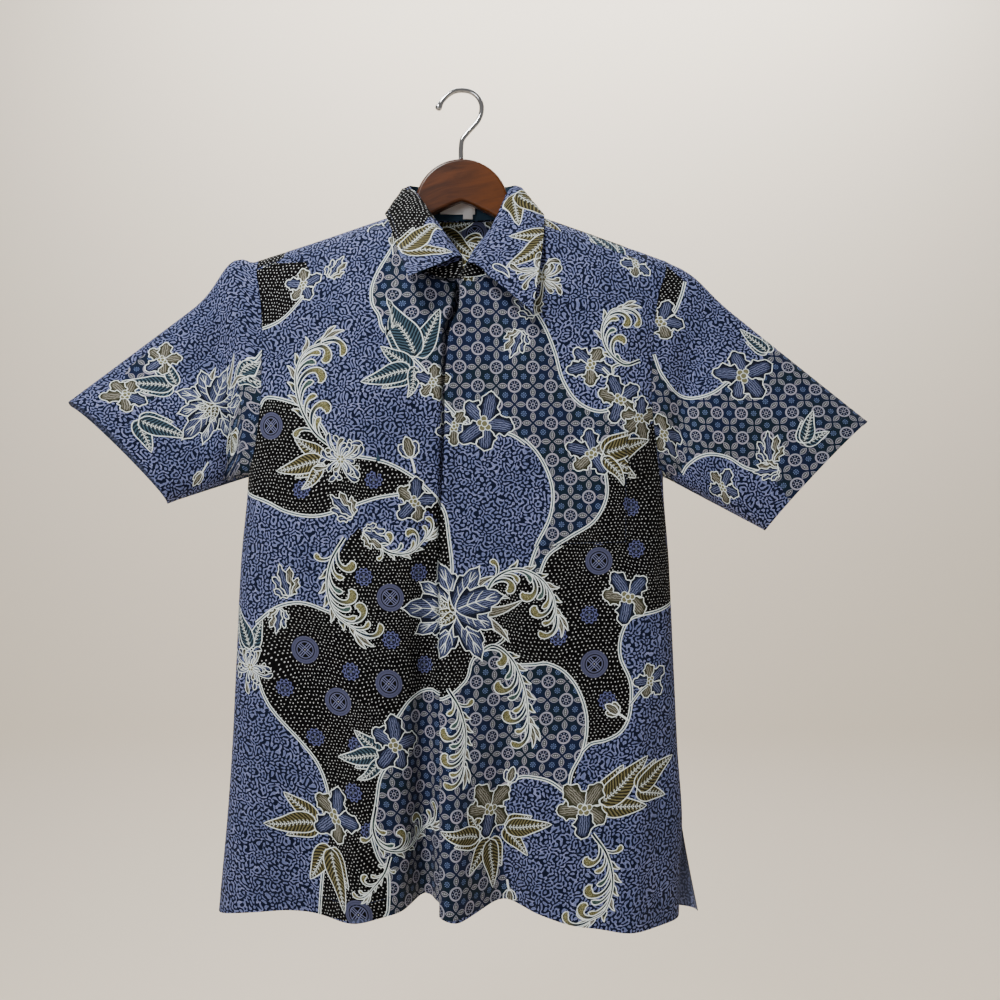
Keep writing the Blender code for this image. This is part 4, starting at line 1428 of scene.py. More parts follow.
NAVY = srgb("#091229")
PERI = srgb("#9096c6")
PERI_LOW = srgb("#7d84b0")
TEAL_NAVY = srgb("#121c37")
MAUVE = srgb("#a3a0b2")
DOT_BLUE = srgb("#6f83b2")
BLACK = srgb("#020203")
CREAM_DOT = srgb("#c4c7c9")
CREAM = srgb("#f1fbf9")
SLATE = srgb("#3a4363")
SLATE_LIGHT = srgb("#6f7699")
SLATE_DARK = srgb("#070b18")
KHAKI_DARK = srgb("#24241f")
OLIVE = srgb("#6e6846")
OLIVE_DARK = srgb("#0e0f0b")


def curls_colour(p, lift=1.0):
    """Short rolled strokes of periwinkle on navy."""
    x, y = p.uv("Cloth")
    wx = p.noise(x, y, 0.09, 0.0, 0.5, 11.0) - 0.5
    wy = p.noise(x, y, 0.09, 0.0, 0.5, 27.0) - 0.5
    qx, qy = x + wx * 9.0, y + wy * 9.0
    waves = None
    for k, (turn, length, phase) in enumerate(CURL_WAVES):
        kx, ky = 2 * PI * math.cos(turn) / length, 2 * PI * math.sin(turn) / length
        w = (qx * kx + qy * ky + phase).sin()
        waves = w if waves is None else waves + w
    cut = p.noise(x, y, 0.7, 1.0, 0.5, 15.0) - 0.5
    waves = waves + cut * 4.6
    fac = waves.step(0.4, 0.9)
    tone = p.noise(x, y, 0.02, 2.0, 0.5, 8.0).step(0.35, 0.65)
    ink = p.mix(tone, PERI_LOW, PERI)
    deep = p.noise(x, y, 0.24, 1.0, 0.5, 33.0).step(0.4, 0.62)
    ink = p.mix((waves.step(1.5, 2.8) * 0.7).max(deep * 0.6), ink, srgb("#4d5a86"))
    return p.mix(fac, NAVY, ink), fac


# Direction, wavelength in mm and phase of the ripples that the strokes are cut from.
CURL_WAVES = (
    (0.10, 3.8, 0.3), (0.47, 4.3, 2.1), (0.83, 3.7, 4.0), (1.21, 4.1, 5.2), (1.62, 3.9, 1.1),
    (1.98, 3.6, 3.3), (2.36, 4.4, 0.9), (2.71, 3.8, 2.7), (3.02, 4.0, 5.9),
)


def make_curls():
    p = Paint("cloth_curls")
    colour, fac = curls_colour(p)
    return p.cotton(colour, print_depth=fac)


def lattice_colour(p):
    """Rings at the crossings, a pointed oval on every edge, a dotted rosette in every cell."""
    pitch = 18.8
    x, y = p.uv("Cloth")
    gx, gy = x / pitch, y / pitch
    cx, cy = (gx + 0.5).floor(), (gy + 0.5).floor()
    fx, fy = gx - cx, gy - cy            # from the nearest crossing, -0.5 to 0.5
    parity = (cx + cy).mod(2.0)          # 0: rings, 1: plain crossing
    r = length2(fx, fy)
    odd = parity.step(0.4, 0.6)
    ring = (r - 0.325).abs().step(0.055, 0.038)
    ring = ring.max((r - 0.09).abs().step(0.034, 0.018) * 0.8)
    hub = (r - 0.2).abs().step(0.08, 0.06)
    turn = fy.atan2(fx)
    pearl = ((turn * 8.0).cos() * (r - 0.195).abs().step(0.06, 0.015)).step(0.25, 0.7)
    ring = ring * (1.0 - odd)
    # The oval: between two arcs, along whichever edge is near.
    ax, ay = fx.abs(), fy.abs()
    long_ = ax.max(ay)
    short = ax.min(ay)
    # From the ring (0) along the edge to the plain crossing (1); the oval fills what the ring leaves.
    run = long_ + odd * (1.0 - long_ * 2.0)
    middle = (run - 0.655).abs()
    wide = (1.0 - (middle / 0.265) * (middle / 0.265)) * 0.15
    oval = (wide - short)
    oval_line = oval.step(0.0, 0.012)
    oval_rim = oval_line * oval.step(0.05, 0.03)
    oval_in = oval.step(0.03, 0.05)
    seed = length2(middle, short).step(0.042, 0.022)
    seed = seed.max(length2(middle - 0.105, short).step(0.036, 0.018))
    # The rosette in the cell's middle.
    hx, hy = gx - gx.floor() - 0.5, gy - gy.floor() - 0.5
    hr = length2(hx, hy)
    ht = hy.atan2(hx)
    petals = ((ht * 8.0).cos() * 0.5 + 0.5) * (hr - 0.125).abs().step(0.042, 0.018)
    petals = petals.step(0.4, 0.75).max((hr - 0.045).abs().step(0.022, 0.008) * 0.6)
    field = p.mix(p.noise(x, y, 0.03, 1.0, 0.5, 45.0).step(0.4, 0.65), TEAL_NAVY, srgb("#101f2c"))
    colour = p.mix(petals, field, DOT_BLUE)
    grey = p.mix(p.noise(x, y, 0.06, 1.0, 0.5, 3.0).step(0.4, 0.62), srgb("#9a9cad"), MAUVE)
    colour = p.mix(ring * 0.92, colour, grey)
    colour = p.mix(hub * (1.0 - odd) * 0.8, colour, srgb("#080e1e"))
    colour = p.mix(pearl * (1.0 - odd) * 0.85, colour, srgb("#8b90ad"))
    keep = 1.0 - (r.step(0.395, 0.38) * (1.0 - odd))
    colour = p.mix(oval_rim * keep, colour, grey)
    colour = p.mix(oval_in * keep * 0.9, colour, srgb("#4f5356"))
    colour = p.mix(seed * keep * 0.8, colour, srgb("#c3c6cf"))
    return colour


def make_lattice():
    p = Paint("cloth_lattice")
    return p.cotton(lattice_colour(p))


def dots_fac(p, a=3.9, radius=0.57):
    """Small round dots in wandering rows, each a little off its place, as a pen sets them."""
    x, y = p.uv("Cloth")
    wx = p.noise(x, y, 0.013, 1.0, 0.5, 31.0) - 0.5
    wy = p.noise(x, y, 0.013, 1.0, 0.5, 57.0) - 0.5
    x, y = x + wx * 26.0, y + wy * 26.0
    b = a * 0.885
    row = (y / b).floor()
    dy = (y / b - row - 0.5) * b
    along_row = x / a + row.mod(2.0) * 0.5
    col = along_row.floor()
    dx = (along_row - col - 0.5) * a
    ox = (p.white(col, row, 1.3) - 0.5) * 1.3
    oy = (p.white(col, row, 5.7) - 0.5) * 1.3
    size = p.white(col, row, 9.1) * 0.12 + (radius - 0.06)
    r = length2(dx - ox, dy - oy)
    return (r - size).step(0.1, -0.1)


def make_dots():
    p = Paint("cloth_dots")
    fac = dots_fac(p)
    return p.cotton(p.mix(fac * 0.95, BLACK, CREAM_DOT), sheen=0.02, print_depth=fac)


def make_medallion():
    """A ring with a crossed lattice inside, on the dotted ground."""
    p = Paint("cloth_medallion")
    x, y = p.uv("Petal")
    r = length2(x, y)
    wide = (r - 12.0).abs().step(2.2, 1.9)
    split = (r - 12.1).abs().step(0.42, 0.15)
    thin = (r - 8.3).abs().step(0.7, 0.45)
    u, v = ((x + y) * 0.7071).abs(), ((x - y) * 0.7071).abs()
    bars = (u.step(0.55, 0.3)).max((u - 2.1).abs().step(0.5, 0.25))
    bars = bars.max(v.step(0.55, 0.3)).max((v - 2.1).abs().step(0.5, 0.25))
    bars = bars * r.step(8.2, 7.9) * u.min(v).step(3.0, 2.7)
    bars = bars * (1.0 - u.max(v).step(1.7, 1.4) * 0.9)
    colour = p.mix(wide * 0.95, BLACK, srgb("#4c4f6c"))
    colour = p.mix(split * 0.6, colour, srgb("#272a3e"))
    colour = p.mix(thin * 0.85, colour, srgb("#5f6384"))
    colour = p.mix(bars * 0.85, colour, srgb("#757aa0"))
    colour = p.mix(r.step(0.7, 0.4) * 0.9, colour, srgb("#c9ccd4"))
    return p.cotton(colour, sheen=0.06)


def make_rosette():
    """A small scalloped star of periwinkle, on the dotted ground."""
    p = Paint("cloth_rosette")
    x, y = p.uv("Petal")
    r = length2(x, y)
    turn = y.atan2(x)
    scallop = (turn * 10.0).cos() * 0.9 + 8.5
    body = (r - scallop).step(0.3, -0.3)
    lobes = (turn * 10.0 + PI).cos()
    holes = (r - 6.9).abs().step(1.25, 0.8) * lobes.step(0.45, -0.1)
    holes = holes.max((r - 4.6).abs().step(0.75, 0.45))
    drops = (r - 2.8).abs().step(1.2, 0.8) * ((turn * 4.0 + PI).cos()).step(-0.5, 0.0)
    heart = x.abs().max(y.abs()).step(1.7, 1.3)
    colour = p.mix(body, BLACK, srgb("#5a5f8d"))
    colour = p.mix(body * holes.max(drops), colour, srgb("#070914"))
    colour = p.mix(heart, colour, srgb("#3f4554"))
    return p.cotton(colour, sheen=0.06)


def make_cream():
    p = Paint("cloth_cream")
    x, y = p.uv("Cloth")
    worn = p.noise(x, y, 0.5, 2.0, 0.6, 7.0).step(0.3, 0.72)
    return p.cotton(p.mix(worn, srgb("#f7fffd"), srgb("#dbe8ea")), sheen=0.1, print_depth=worn)


def make_plain(name, colour):
    p = Paint(name)
    return p.cotton(colour)


def make_petal(name, body, light, dark):
    """A dark inner contour, and strokes that follow the petal's length inside it."""
    p = Paint(name)
    s, d = p.uv("Petal")
    t, n = p.uv("Norm")
    x, y = p.uv("Cloth")
    wob = p.noise(x, y, 0.35, 1.0, 0.5, 6.0) - 0.5
    lines = (d * 2.9 + wob * 7.0 + (s * 0.25).sin() * 0.6).sin()
    # How far out to the side, as a share of the petal's own half width there.
    wide = ((t.max(0.01).min(0.99) ** 0.86) * PI).sin() ** 0.52
    inner = n.abs() / wide.max(0.05) + wob * 0.22
    edge = inner.step(0.54, 0.7).max(t.step(0.84, 0.92))
    heart = inner.step(0.55, 0.35) * t.step(0.88, 0.74)
    grain = p.noise(x, y, 1.3, 1.0, 0.5, 12.0).step(0.4, 0.62)
    colour = p.mix(grain * 0.3, body, dark)
    colour = p.mix(lines.step(-0.1, 0.8) * (heart * 0.7 + 0.15), colour, light)
    colour = p.mix(lines.step(-0.3, -0.9) * 0.85, colour, dark)
    colour = p.mix(edge * 0.9, colour, dark)
    return p.cotton(colour, print_depth=heart)


def make_leaf(name, body, dark, rib_colour):
    """Slanting dark hatch on both sides of a broken white midrib with short white ticks."""
    p = Paint(name)
    s, d = p.uv("Petal")
    t, n = p.uv("Norm")
    x, y = p.uv("Cloth")
    wob = p.noise(x, y, 0.3, 1.0, 0.5, 6.0) - 0.5
    slant = (s - d.abs() * 0.9) * (2 * PI / 4.0)
    hatch = (slant + wob * 2.6).sin()
    fac = hatch.step(-0.5, 0.1)
    colour = p.mix(fac * 0.9, body, dark)
    halo = d.abs().step(2.6, 1.1) * 0.75
    colour = p.mix(halo, colour, dark)
    dots = (s * (2 * PI / 2.1)).sin().step(-0.75, -0.2)
    rib = d.abs().step(0.85, 0.5) * dots
    ticks = (slant * 1.0 + 1.4).sin().step(0.45, 0.85) * (d.abs() - 1.7).abs().step(1.0, 0.6)
    white = rib.max(ticks * 0.85) * t.step(0.97, 0.84) * t.step(0.03, 0.1)
    colour = p.mix(white * 0.92, colour, rib_colour)
    return p.cotton(colour, print_depth=white)


def make_plume_ink(name, low, high, light):
    p = Paint(name)
    s, d = p.uv("Petal")
    t, n = p.uv("Norm")
    x, y = p.uv("Cloth")
    grain = p.noise(x, y, 1.5, 0.0, 0.5, 1.0).step(0.54, 0.64)
    colour = p.mix(t.step(0.3, 0.8), low, high)
    colour = p.mix(n.abs().step(0.25, 0.9) * 0.7, colour, srgb("#0c1018"))
    colour = p.mix(grain * t.step(0.45, 0.75) * n.abs().step(0.9, 0.6) * 0.8, colour, light)
    return p.cotton(colour)


def make_reverse():
    """The print struck through to the wrong side: the same inks, soft and pale."""
    p = Paint("cloth_reverse")
    colour, fac = curls_colour(p)
    faded = p.mix(0.45, colour, srgb("#59617c"))
    return p.cotton(faded, sheen=0.1)


MATERIALS = {
    "curls": make_curls(),
    "lattice": make_lattice(),
    "dots": make_dots(),
    "cream": make_cream(),
    "core": make_plain("cloth_core", srgb("#2c4152")),
    "slate": make_petal("cloth_slate", SLATE, SLATE_LIGHT, SLATE_DARK),
    "khaki": make_petal("cloth_khaki", srgb("#5f5d52"), srgb("#918f86"), srgb("#2a2b1a")),
    "olive": make_leaf("cloth_olive", OLIVE, OLIVE_DARK, CREAM),
    "night_leaf": make_leaf("cloth_night_leaf", srgb("#3f5564"), srgb("#060a14"), CREAM),
    "plume": make_plume_ink("cloth_plume", srgb("#1b2837"), srgb("#5d5b38"), srgb("#a3a07c")),
    "core_leaf": make_plume_ink("cloth_core_leaf", srgb("#16202f"), srgb("#30443f"), srgb("#5d7371")),
    "medallion": make_medallion(),
    "rosette": make_rosette(),
    "cell": make_plain("cloth_cell", srgb("#6f6e52")),
    "reverse": make_reverse(),
}


# =====================================================================
# 5. The layout of the print, in garment millimetres
# =====================================================================
SHEETS = {
    "front_right": front_sheet(-1),
    "front_left": front_sheet(1),
    "back": back_sheet(),
    "yoke": yoke_sheet(),
    "sleeve_right": sleeve_sheet(-1),
    "sleeve_left": sleeve_sheet(1),
    "collar_stand": stand_sheet(),
    "collar_leaf": leaf_sheet(),
    "chest_pocket": pocket_sheet(),
}


def on_front(x, z):
    side = "front_left" if x > along(PLACKET, "z", "x", z) else "front_right"
    return SHEETS[side].pin(x, z)


class Board:
    """Collects shapes; places are given as they are seen from the front."""

    def __init__(self, pin):
        self.pin = pin
        self.shapes = []

    def flat(self, points):
        return [self.pin(float(x), float(z))[0] for x, z in points]

    def fill(self, ink, *runs):
        self.shapes.append(Shape(np.vstack([smooth(self.flat(r), 4.0) for r in runs]), ink))

    def vine(self, *runs, width=3.4):
        for r in runs:
            self.shapes += vine(self.flat(r), width)

    def put(self, fn, x, z, deg, size, *more, **named):
        place, turn = self.pin(float(x), float(z))
        self.shapes += fn(place, math.radians(deg) + turn, size, *more, **named)

    def plume(self, points, size, side=1, lobes=9, tip=1.9, ink="plume"):
        self.shapes += plume(self.flat(points), size, side, lobes, tip, ink)

    def marks(self, ink, r, *centres):
        for x, z in centres:
            self.shapes += round_mark(self.pin(float(x), float(z))[0], r, ink)


FLOWERS = {
    "blue": ("slate", "slate", "slate", "slate", "slate"),
    "mixed": ("slate", "khaki", "slate", "khaki", "slate"),
    "grey": ("khaki", "khaki", "slate", "khaki", "khaki"),
}


def front_print():
    b = Board(on_front)
    a = [(-64, -150), (-72, -172), (-87, -205), (-90, -235), (-80, -259), (-61, -281), (-41, -298), (-28, -316), (-14, -338), (2, -355)]
    c = [(30, -364), (56, -371), (80, -393), (94, -425), (92, -456), (77, -487), (68, -515)]
    d = [(80, -515), (90, -492), (112, -477), (137, -461), (150, -436), (148, -408), (144, -392)]
    e = [(163, -339), (182, -350), (187, -364), (172, -381), (144, -392)]
    f = [(60, -180), (63, -222), (77, -243), (88, -262), (97, -285), (105, -313), (120, -335), (142, -345), (163, -339)]
    g = [(-250, -335), (-202, -330), (-184, -332), (-158, -342), (-141, -362), (-128, -386)]
    h = [(-112, -390), (-77, -397), (-51, -410), (-31, -427), (-19, -446), (-11, -476), (-8, -507), (-12, -530)]
    i = [(-250, -412), (-225, -427), (-202, -437), (-178, -448), (-148, -452), (-117, -444), (-87, -434), (-58, -429)]
    j = [(-134, -550), (-163, -541), (-189, -546), (-212, -563)]
    k = [(-212, -563), (-208, -588), (-212, -611)]
    l = [(-212, -611), (-202, -637), (-189, -656), (-163, -683), (-145, -706), (-135, -732), (-130, -768)]
    m = [(-138, -800), (-141, -830), (-143, -860), (-144, -890)]
    o = [(-8, -632), (-20, -637), (-31, -632), (-51, -640), (-64, -657)]
    p = [(-70, -700), (-80, -716), (-84, -742), (-88, -768), (-82, -793), (-72, -813), (-72, -849), (-73, -890)]
    q = [(-8, -632), (7, -617), (12, -600), (20, -588)]
    r = [(60, -604), (77, -603), (88, -602), (104, -609), (117, -623), (126, -643), (129, -664), (125, -689), (113, -713), (110, -736)]
    s = [(110, -738), (104, -730), (87, -720), (66, -718), (52, -726), (44, -742)]
    t = [(40, -775), (42, -803), (48, -829), (55, -890)]
    u = [(255, -538), (206, -550), (185, -554), (172, -560), (164, -578), (164, -597), (173, -618), (175, -634), (172, -657), (163, -672), (148, -680), (133, -683), (124, -691)]
    v = [(-163, -186), (-156, -204), (-163, -224), (-182, -245), (-201, -255), (-228, -259), (-262, -256)]

    b.fill("lattice", a, c, d, e[::-1], f[::-1])
    b.fill("dots", g, h, [(0, -548), (16, -572)], q[::-1], o[1:], p, m[::-1], l[::-1], k[::-1], j[::-1],
           [(-133, -512), (-119, -482), (-104, -464)], [(-87, -478), (-61, -491), (-33, -478), (-43, -442)], i[::-1])
    b.fill("dots", d, [(172, -381), (187, -364), (205, -352), (255, -350)], u, r[::-1], [(41, -584), (22, -586), (4, -600)], [(20, -556), (28, -526), (46, -510), (66, -513)])
    b.fill("lattice", o[::-1], q, [(41, -584), (52, -592)], r, s, t, p[::-1])
    b.fill("dots", [(-262, -180), (-225, -179), (-192, -186)], v)

    b.marks("medallion", 14.2, (-196, -359), (-159, -589), (-71, -535), (-72, -622), (-124, -641), (-100, -848), (142, -498), (137, -603),
            (223, -478), (-236, -392))
    b.marks("rosette", 9.6, (-163, -425), (-88, -415), (-98, -514), (-43, -510), (-70, -578), (-111, -610), (-38, -606), (-180, -628),
            (-148, -678), (-107, -730), (-36, -456), (176, -443), (181, -486), (132, -553), (100, -575), (-104, -684), (-90, -768), (214, -420),
            (150, -640), (-224, -352))
    b.vine(a, c, d, f, g, h, i, j, l, m, o, p, q, r, s, u, v[2:])

    # Chest lattice: dark leaves at its left border, flowers along its foot.
    b.put(leaf_trio, -45, -290, 103, 62, "night_leaf")
    b.put(leaf_trio, -49, -304, 178, 48, "night_leaf")
    b.put(leaf, -46, -300, 262, 30, 13, 0.4, "night_leaf")
    b.put(orchid, -27, -316, 10, 21, FLOWERS["grey"])
    b.put(orchid, -6, -361, 200, 22, FLOWERS["mixed"])
    b.put(orchid, 25, -358, 64, 33, FLOWERS["blue"])
    # Shoulder and collar side.
    b.put(orchid, -164, -212, 20, 21, FLOWERS["mixed"])
    b.put(sprig, -136, -204, 60, 26, "khaki")
    b.put(bud, -70, -182, 95, 22, "khaki")
    b.put(sprig, 76, -247, 120, 34, "khaki")
    b.put(sprig, 62, -264, 250, 30, "khaki")
    b.put(mum, 84, -206, 10, 30, "khaki", 11)
    b.put(orchid, 184, -187, 40, 19, FLOWERS["mixed"])
    # Right chest: a long scroll and its flowers.
    b.plume([(186, -291), (168, -296), (151, -281), (146, -259), (156, -240), (168, -238)], 21, -1, 8, 2.0)
    b.put(orchid, 133, -297, 200, 25, FLOWERS["mixed"])
    b.vine([(146, -300), (156, -312), (160, -330)], width=3.0)
    b.put(orchid, 164, -332, 100, 27, FLOWERS["mixed"])
    b.put(orchid, 184, -352, 300, 25, FLOWERS["grey"])
    b.put(orchid, 134, -391, 160, 27, FLOWERS["mixed"])
    b.put(leaf_trio, 146, -391, 4, 50, "olive")
    b.put(leaf, 146, -395, -48, 34, 14, 0.4, "olive")
    # Left chest: the scroll over the flower of fingers.
    b.plume([(-130, -382), (-150, -366), (-165, -338), (-170, -308), (-160, -282), (-143, -274)], 26, -1, 11, 1.7)
    b.put(leaf_trio, -141, -396, 176, 46, "olive")
    b.put(leaf, -142, -400, 232, 30, 13, 0.5, "olive")
    b.put(mum, -122, -394, 20, 29, "slate", 15)
    b.put(bud, -46, -408, 100, 34, "slate")
    b.put(orchid, -46, -437, 74, 25, FLOWERS["mixed"])
    # Blue oval: meander sprigs and two scrolls.
    b.plume([(-92, -474), (-72, -489), (-50, -489), (-35, -474)], 17, 1, 6, 1.6)
    b.put(sprig, -110, -452, 140, 32, "khaki")
    b.put(sprig, -98, -468, -20, 30, "khaki")
    b.plume([(-118, -474), (-132, -498), (-136, -526), (-127, -552), (-106, -568)], 24, 1, 10, 1.7)
    b.put(sprig, -176, -534, 110, 34, "khaki")
    b.put(sprig, -186, -548, 262, 26, "khaki")
    # Left side: fingers and leaves.
    b.put(leaf_trio, -219, -590, 98, 42, "night_leaf")
    b.put(mum, -218, -609, 40, 26, "slate", 14)
    # Middle: the lotus, and the scrolls from it.
    b.plume([(24, -535), (36, -515), (58, -506), (80, -514), (94, -532), (98, -553)], 23, -1, 10, 1.9)
    b.plume([(14, -596), (34, -584), (54, -600), (66, -630), (70, -664)], 24, -1, 10, 1.7)
    b.plume([(-12, -626), (0, -646), (6, -672), (4, -704)], 22, -1, 9, 1.6)
    b.put(lotus, -4, -550, 96, 64)
    # Lower left.
    b.put(leaf_trio, -80, -694, 172, 42, "night_leaf")
    b.put(leaf, -78, -698, 222, 32, 13, 0.4, "night_leaf")
    b.put(orchid, -65, -684, 80, 31, FLOWERS["blue"])
    b.plume([(-84, -744), (-86, -768), (-74, -788), (-50, -791), (-32, -774)], 21, 1, 9, 1.6)
    b.plume([(-70, -795), (-76, -812), (-90, -828)], 13, -1, 5, 1.5)
    b.put(leaf_trio, -146, -766, 172, 50, "olive")
    b.put(leaf_trio, -131, -789, 268, 54, "olive")
    b.put(orchid, -126, -757, 66, 31, FLOWERS["mixed"])
    # Lower right.
    b.put(leaf_trio, 20, -779, 150, 44, "olive")
    b.put(leaf_trio, 31, -783, 262, 48, "olive")
    b.put(leaf_trio, 46, -773, -8, 46, "olive")
    b.put(bud, 46, -738, 70, 26, "slate")
    b.put(orchid, 31, -751, 110, 31, FLOWERS["grey"])
    b.put(leaf_trio, 142, -742, 26, 58, "olive")
    b.put(leaf_trio, 180, -728, 14, 46, "olive")
    b.plume([(134, -772), (148, -792), (154, -820), (146, -848), (130, -858)], 22, -1, 10, 1.7)
    b.put(orchid, 126, -747, 120, 31, FLOWERS["grey"])
    # Right side.
    b.put(orchid, 172, -535, 110, 30, FLOWERS["mixed"])
    b.put(orchid, 196, -622, 30, 21, FLOWERS["mixed"])
    b.vine([(173, -645), (184, -632), (192, -626)], width=3.0)
    b.put(bud, 171, -660, 140, 25, "khaki")
    b.put(bud, 48, -829, 280, 24, "slate")
    return b.shapes


def sleeve_print(side):
    sheet = SHEETS["sleeve_right" if side < 0 else "sleeve_left"]
    b = Board(sheet.pin)
    if side < 0:
        edge = [(-196, -268), (-222, -289), (-231, -306), (-238, -330), (-243, -356), (-245, -380), (-243, -420)]
        b.fill("lattice", edge, [(-215, -425), (-196, -400)], [(-192, -340), (-192, -300)])
        b.vine(edge[:3])
        b.fill("lattice", [(-352, -300), (-330, -282), (-310, -296), (-306, -316), (-326, -334), (-350, -338)])
        b.put(leaf_trio, -300, -318, 158, 46, "night_leaf")
        b.put(leaf, -296, -316, 120, 34, 14, -0.5, "night_leaf")
        b.put(orchid, -312, -289, 70, 22, FLOWERS["grey"])
        b.put(orchid, -350, -326, 200, 24, FLOWERS["grey"])
        b.put(leaf_trio, -334, -352, -38, 46, "night_leaf")
        b.put(leaf_trio, -234, -312, 60, 34, "night_leaf")
        b.put(leaf_trio, -240, -362, -52, 28, "olive")
        b.put(lotus, -256, -336, 145, 54)
        b.put(bud, -264, -396, 230, 24, "khaki")
    else:
        top = [(236, -205), (231, -222), (224, -238), (210, -250)]
        b.fill("dots", [(196, -180), (216, -186), (236, -205)], top, [(200, -240), (192, -215)])
        curve = [(201, -284), (211, -307), (225, -323), (243, -329), (262, -324), (279, -312)]
        low = [(232, -406), (242, -395), (258, -388), (278, -391), (297, -402), (321, -408)]
        b.fill("lattice", curve, [(279, -312), (300, -300), (330, -278)], [(352, -262), (440, -350)], [(404, -400), (352, -440), (334, -424)], low[::-1],
               [(215, -425), (196, -420)], [(192, -360), (196, -310)])
        b.vine(top, curve, low)
        b.put(orchid, 209, -249, 70, 27, FLOWERS["mixed"])
        b.put(orchid, 295, -306, 30, 34, FLOWERS["blue"])
        b.put(leaf_trio, 322, -280, 120, 34, "night_leaf")
        b.put(orchid, 213, -368, 20, 30, FLOWERS["mixed"])
        b.put(orchid, 215, -412, 20, 21, FLOWERS["grey"])
        b.put(sprig, 322, -396, 100, 34, "khaki")
        b.put(sprig, 330, -404, 190, 26, "khaki")
        b.put(orchid, 274, -422, 60, 22, FLOWERS["mixed"])
        b.put(leaf_trio, 356, -376, 60, 34, "night_leaf")
    return b.shapes


def strewn(seed, box, step=62.0, fields=()):
    """Parts that the photo barely shows: the same motifs, scattered evenly."""
    rng = np.random.default_rng(seed)
    out = []
    for ink, pts in fields:
        out.append(Shape(smooth(pts, 4.0, True), ink))
        out += vine(pts, 3.2, True)
    x0, x1, y0, y1 = box
    row = 0
    y = y0 + step / 2
    while y < y1:
        x = x0 + (step / 2 if row % 2 else step * 0.95)
        while x < x1:
            p = np.array([x, y]) + rng.uniform(-9, 9, 2)
            a = rng.uniform(0, 2 * PI)
            kind = rng.integers(0, 5)
            if kind == 0:
                out += orchid(p, a, 26, FLOWERS["mixed"])
            elif kind == 1:
                out += leaf_trio(p, a, 44, "olive")
            elif kind == 2:
                out += leaf_trio(p, a, 42, "night_leaf")
            elif kind == 3:
                out += sprig(p, a, 30, "khaki")
            else:
                out += orchid(p, a, 24, FLOWERS["blue"])
            x += step
        y += step * 0.86
        row += 1
    return out


def collar_print():
    sheet = SHEETS["collar_leaf"]
    b = Board(sheet.pin)
    b.fill("dots", [(-86, -120), (-80, -160), (-70, -176), (-58, -180)], [(-44, -170), (-20, -140)], [(-20, -110), (-56, -96)])
    b.put(leaf_trio, -60, -182, 34, 52, "olive")
    b.put(curl, -52, -108, -50, 24, 1.9, 5.5, "plume")
    b.put(leaf_trio, 58, -112, 316, 56, "olive")
    b.put(leaf_trio, 92, -160, 222, 52, "olive")
    b.put(mum, 84, -202, 20, 30, "khaki", 11)
    b.put(leaf, 34, -198, -40, 22, 8, 0.3, "slate")
    return b.shapes


def neck_pin(sheet):
    """Places on the inside of the back of the neck, as they are seen through the opening."""
    def pin(x, z):
        d = (sheet.p[..., 0] - x) ** 2 + (sheet.p[..., 2] - z) ** 2 + np.where(sheet.n[..., 1] > 0.1, 0, 1e6)
        i, j = np.unravel_index(np.argmin(d), d.shape)
        return np.array([sheet.u[i, j], sheet.v[i, j]]), 0.0
    return pin


def yoke_pin(sheet):
    """Places on the yoke's outer face in front of the shoulder line."""
    def pin(x, z):
        d = (sheet.p[..., 0] - x) ** 2 + (sheet.p[..., 2] - z) ** 2 + np.where(sheet.n[..., 1] < 0.1, 0, 1e6)
        i, j = np.unravel_index(np.argmin(d), d.shape)
        return np.array([sheet.u[i, j], sheet.v[i, j]]), 0.0
    return pin


def yoke_print(sheet):
    """The fields of the fronts run on over the shoulders; the rest is strewn."""
    b = Board(yoke_pin(sheet))
    b.fill("dots", [(-262, -190), (-262, -150)], [(-222, -150), (-192, -150)], [(-190, -180), (-192, -192)])
    b.fill("dots", [(96, -130), (120, -136)], [(160, -150), (206, -160)], [(206, -176), (170, -166)], [(130, -152), (100, -142)])
    return strewn(5, (-230, 230, -230, 60)) + b.shapes


def neck_print(sheet):
    b = Board(neck_pin(sheet))
    b.fill("curls", [(-70, -120), (-10, -120)], [(-4, -150), (-14, -172)], [(-40, -178), (-80, -170)])
    b.marks("medallion", 14.2, (14, -146))
    b.put(leaf_trio, 6, -152, 252, 50, "olive")
    b.put(leaf_trio, 20, -150, 300, 48, "olive")
    b.put(leaf_trio, 30, -176, 10, 44, "olive")
    b.put(leaf_trio, -24, -140, 200, 46, "olive")
    b.put(orchid, 44, -140, 30, 24, FLOWERS["grey"])
    return b.shapes


def stand_print():
    """A rosette now and then on the dotted ground of the band."""
    out = []
    for k, u in enumerate(range(-200, 210, 41)):
        out += round_mark((u + 9 * math.sin(3 * k), 15 + 5 * math.cos(2 * k)), 9.6, "rosette")
    return out


FRONT = front_print()
PRINTS = {
    "front_right": FRONT,
    "front_left": FRONT,
    "chest_pocket": [s.moved(0.0, np.array([-0.6, 3.6])) for s in FRONT],
    "back": [s.moved(0.0, np.array([38.0, -22.0])) for s in FRONT],
    "sleeve_right": sleeve_print(-1),
    "sleeve_left": sleeve_print(1),
    "collar_leaf": collar_print(),
    "collar_stand": stand_print(),
    "yoke": yoke_print(SHEETS["yoke"]),
}


# =====================================================================
# 6. Pieces
# =====================================================================
INSIDE = {"yoke": neck_print(SHEETS["yoke"]), "back": neck_print(SHEETS["back"])}
GROUNDS = {"collar_stand": ("dots", "core"), "yoke": ("curls", "lattice"), "collar_leaf": ("curls", "curls")}

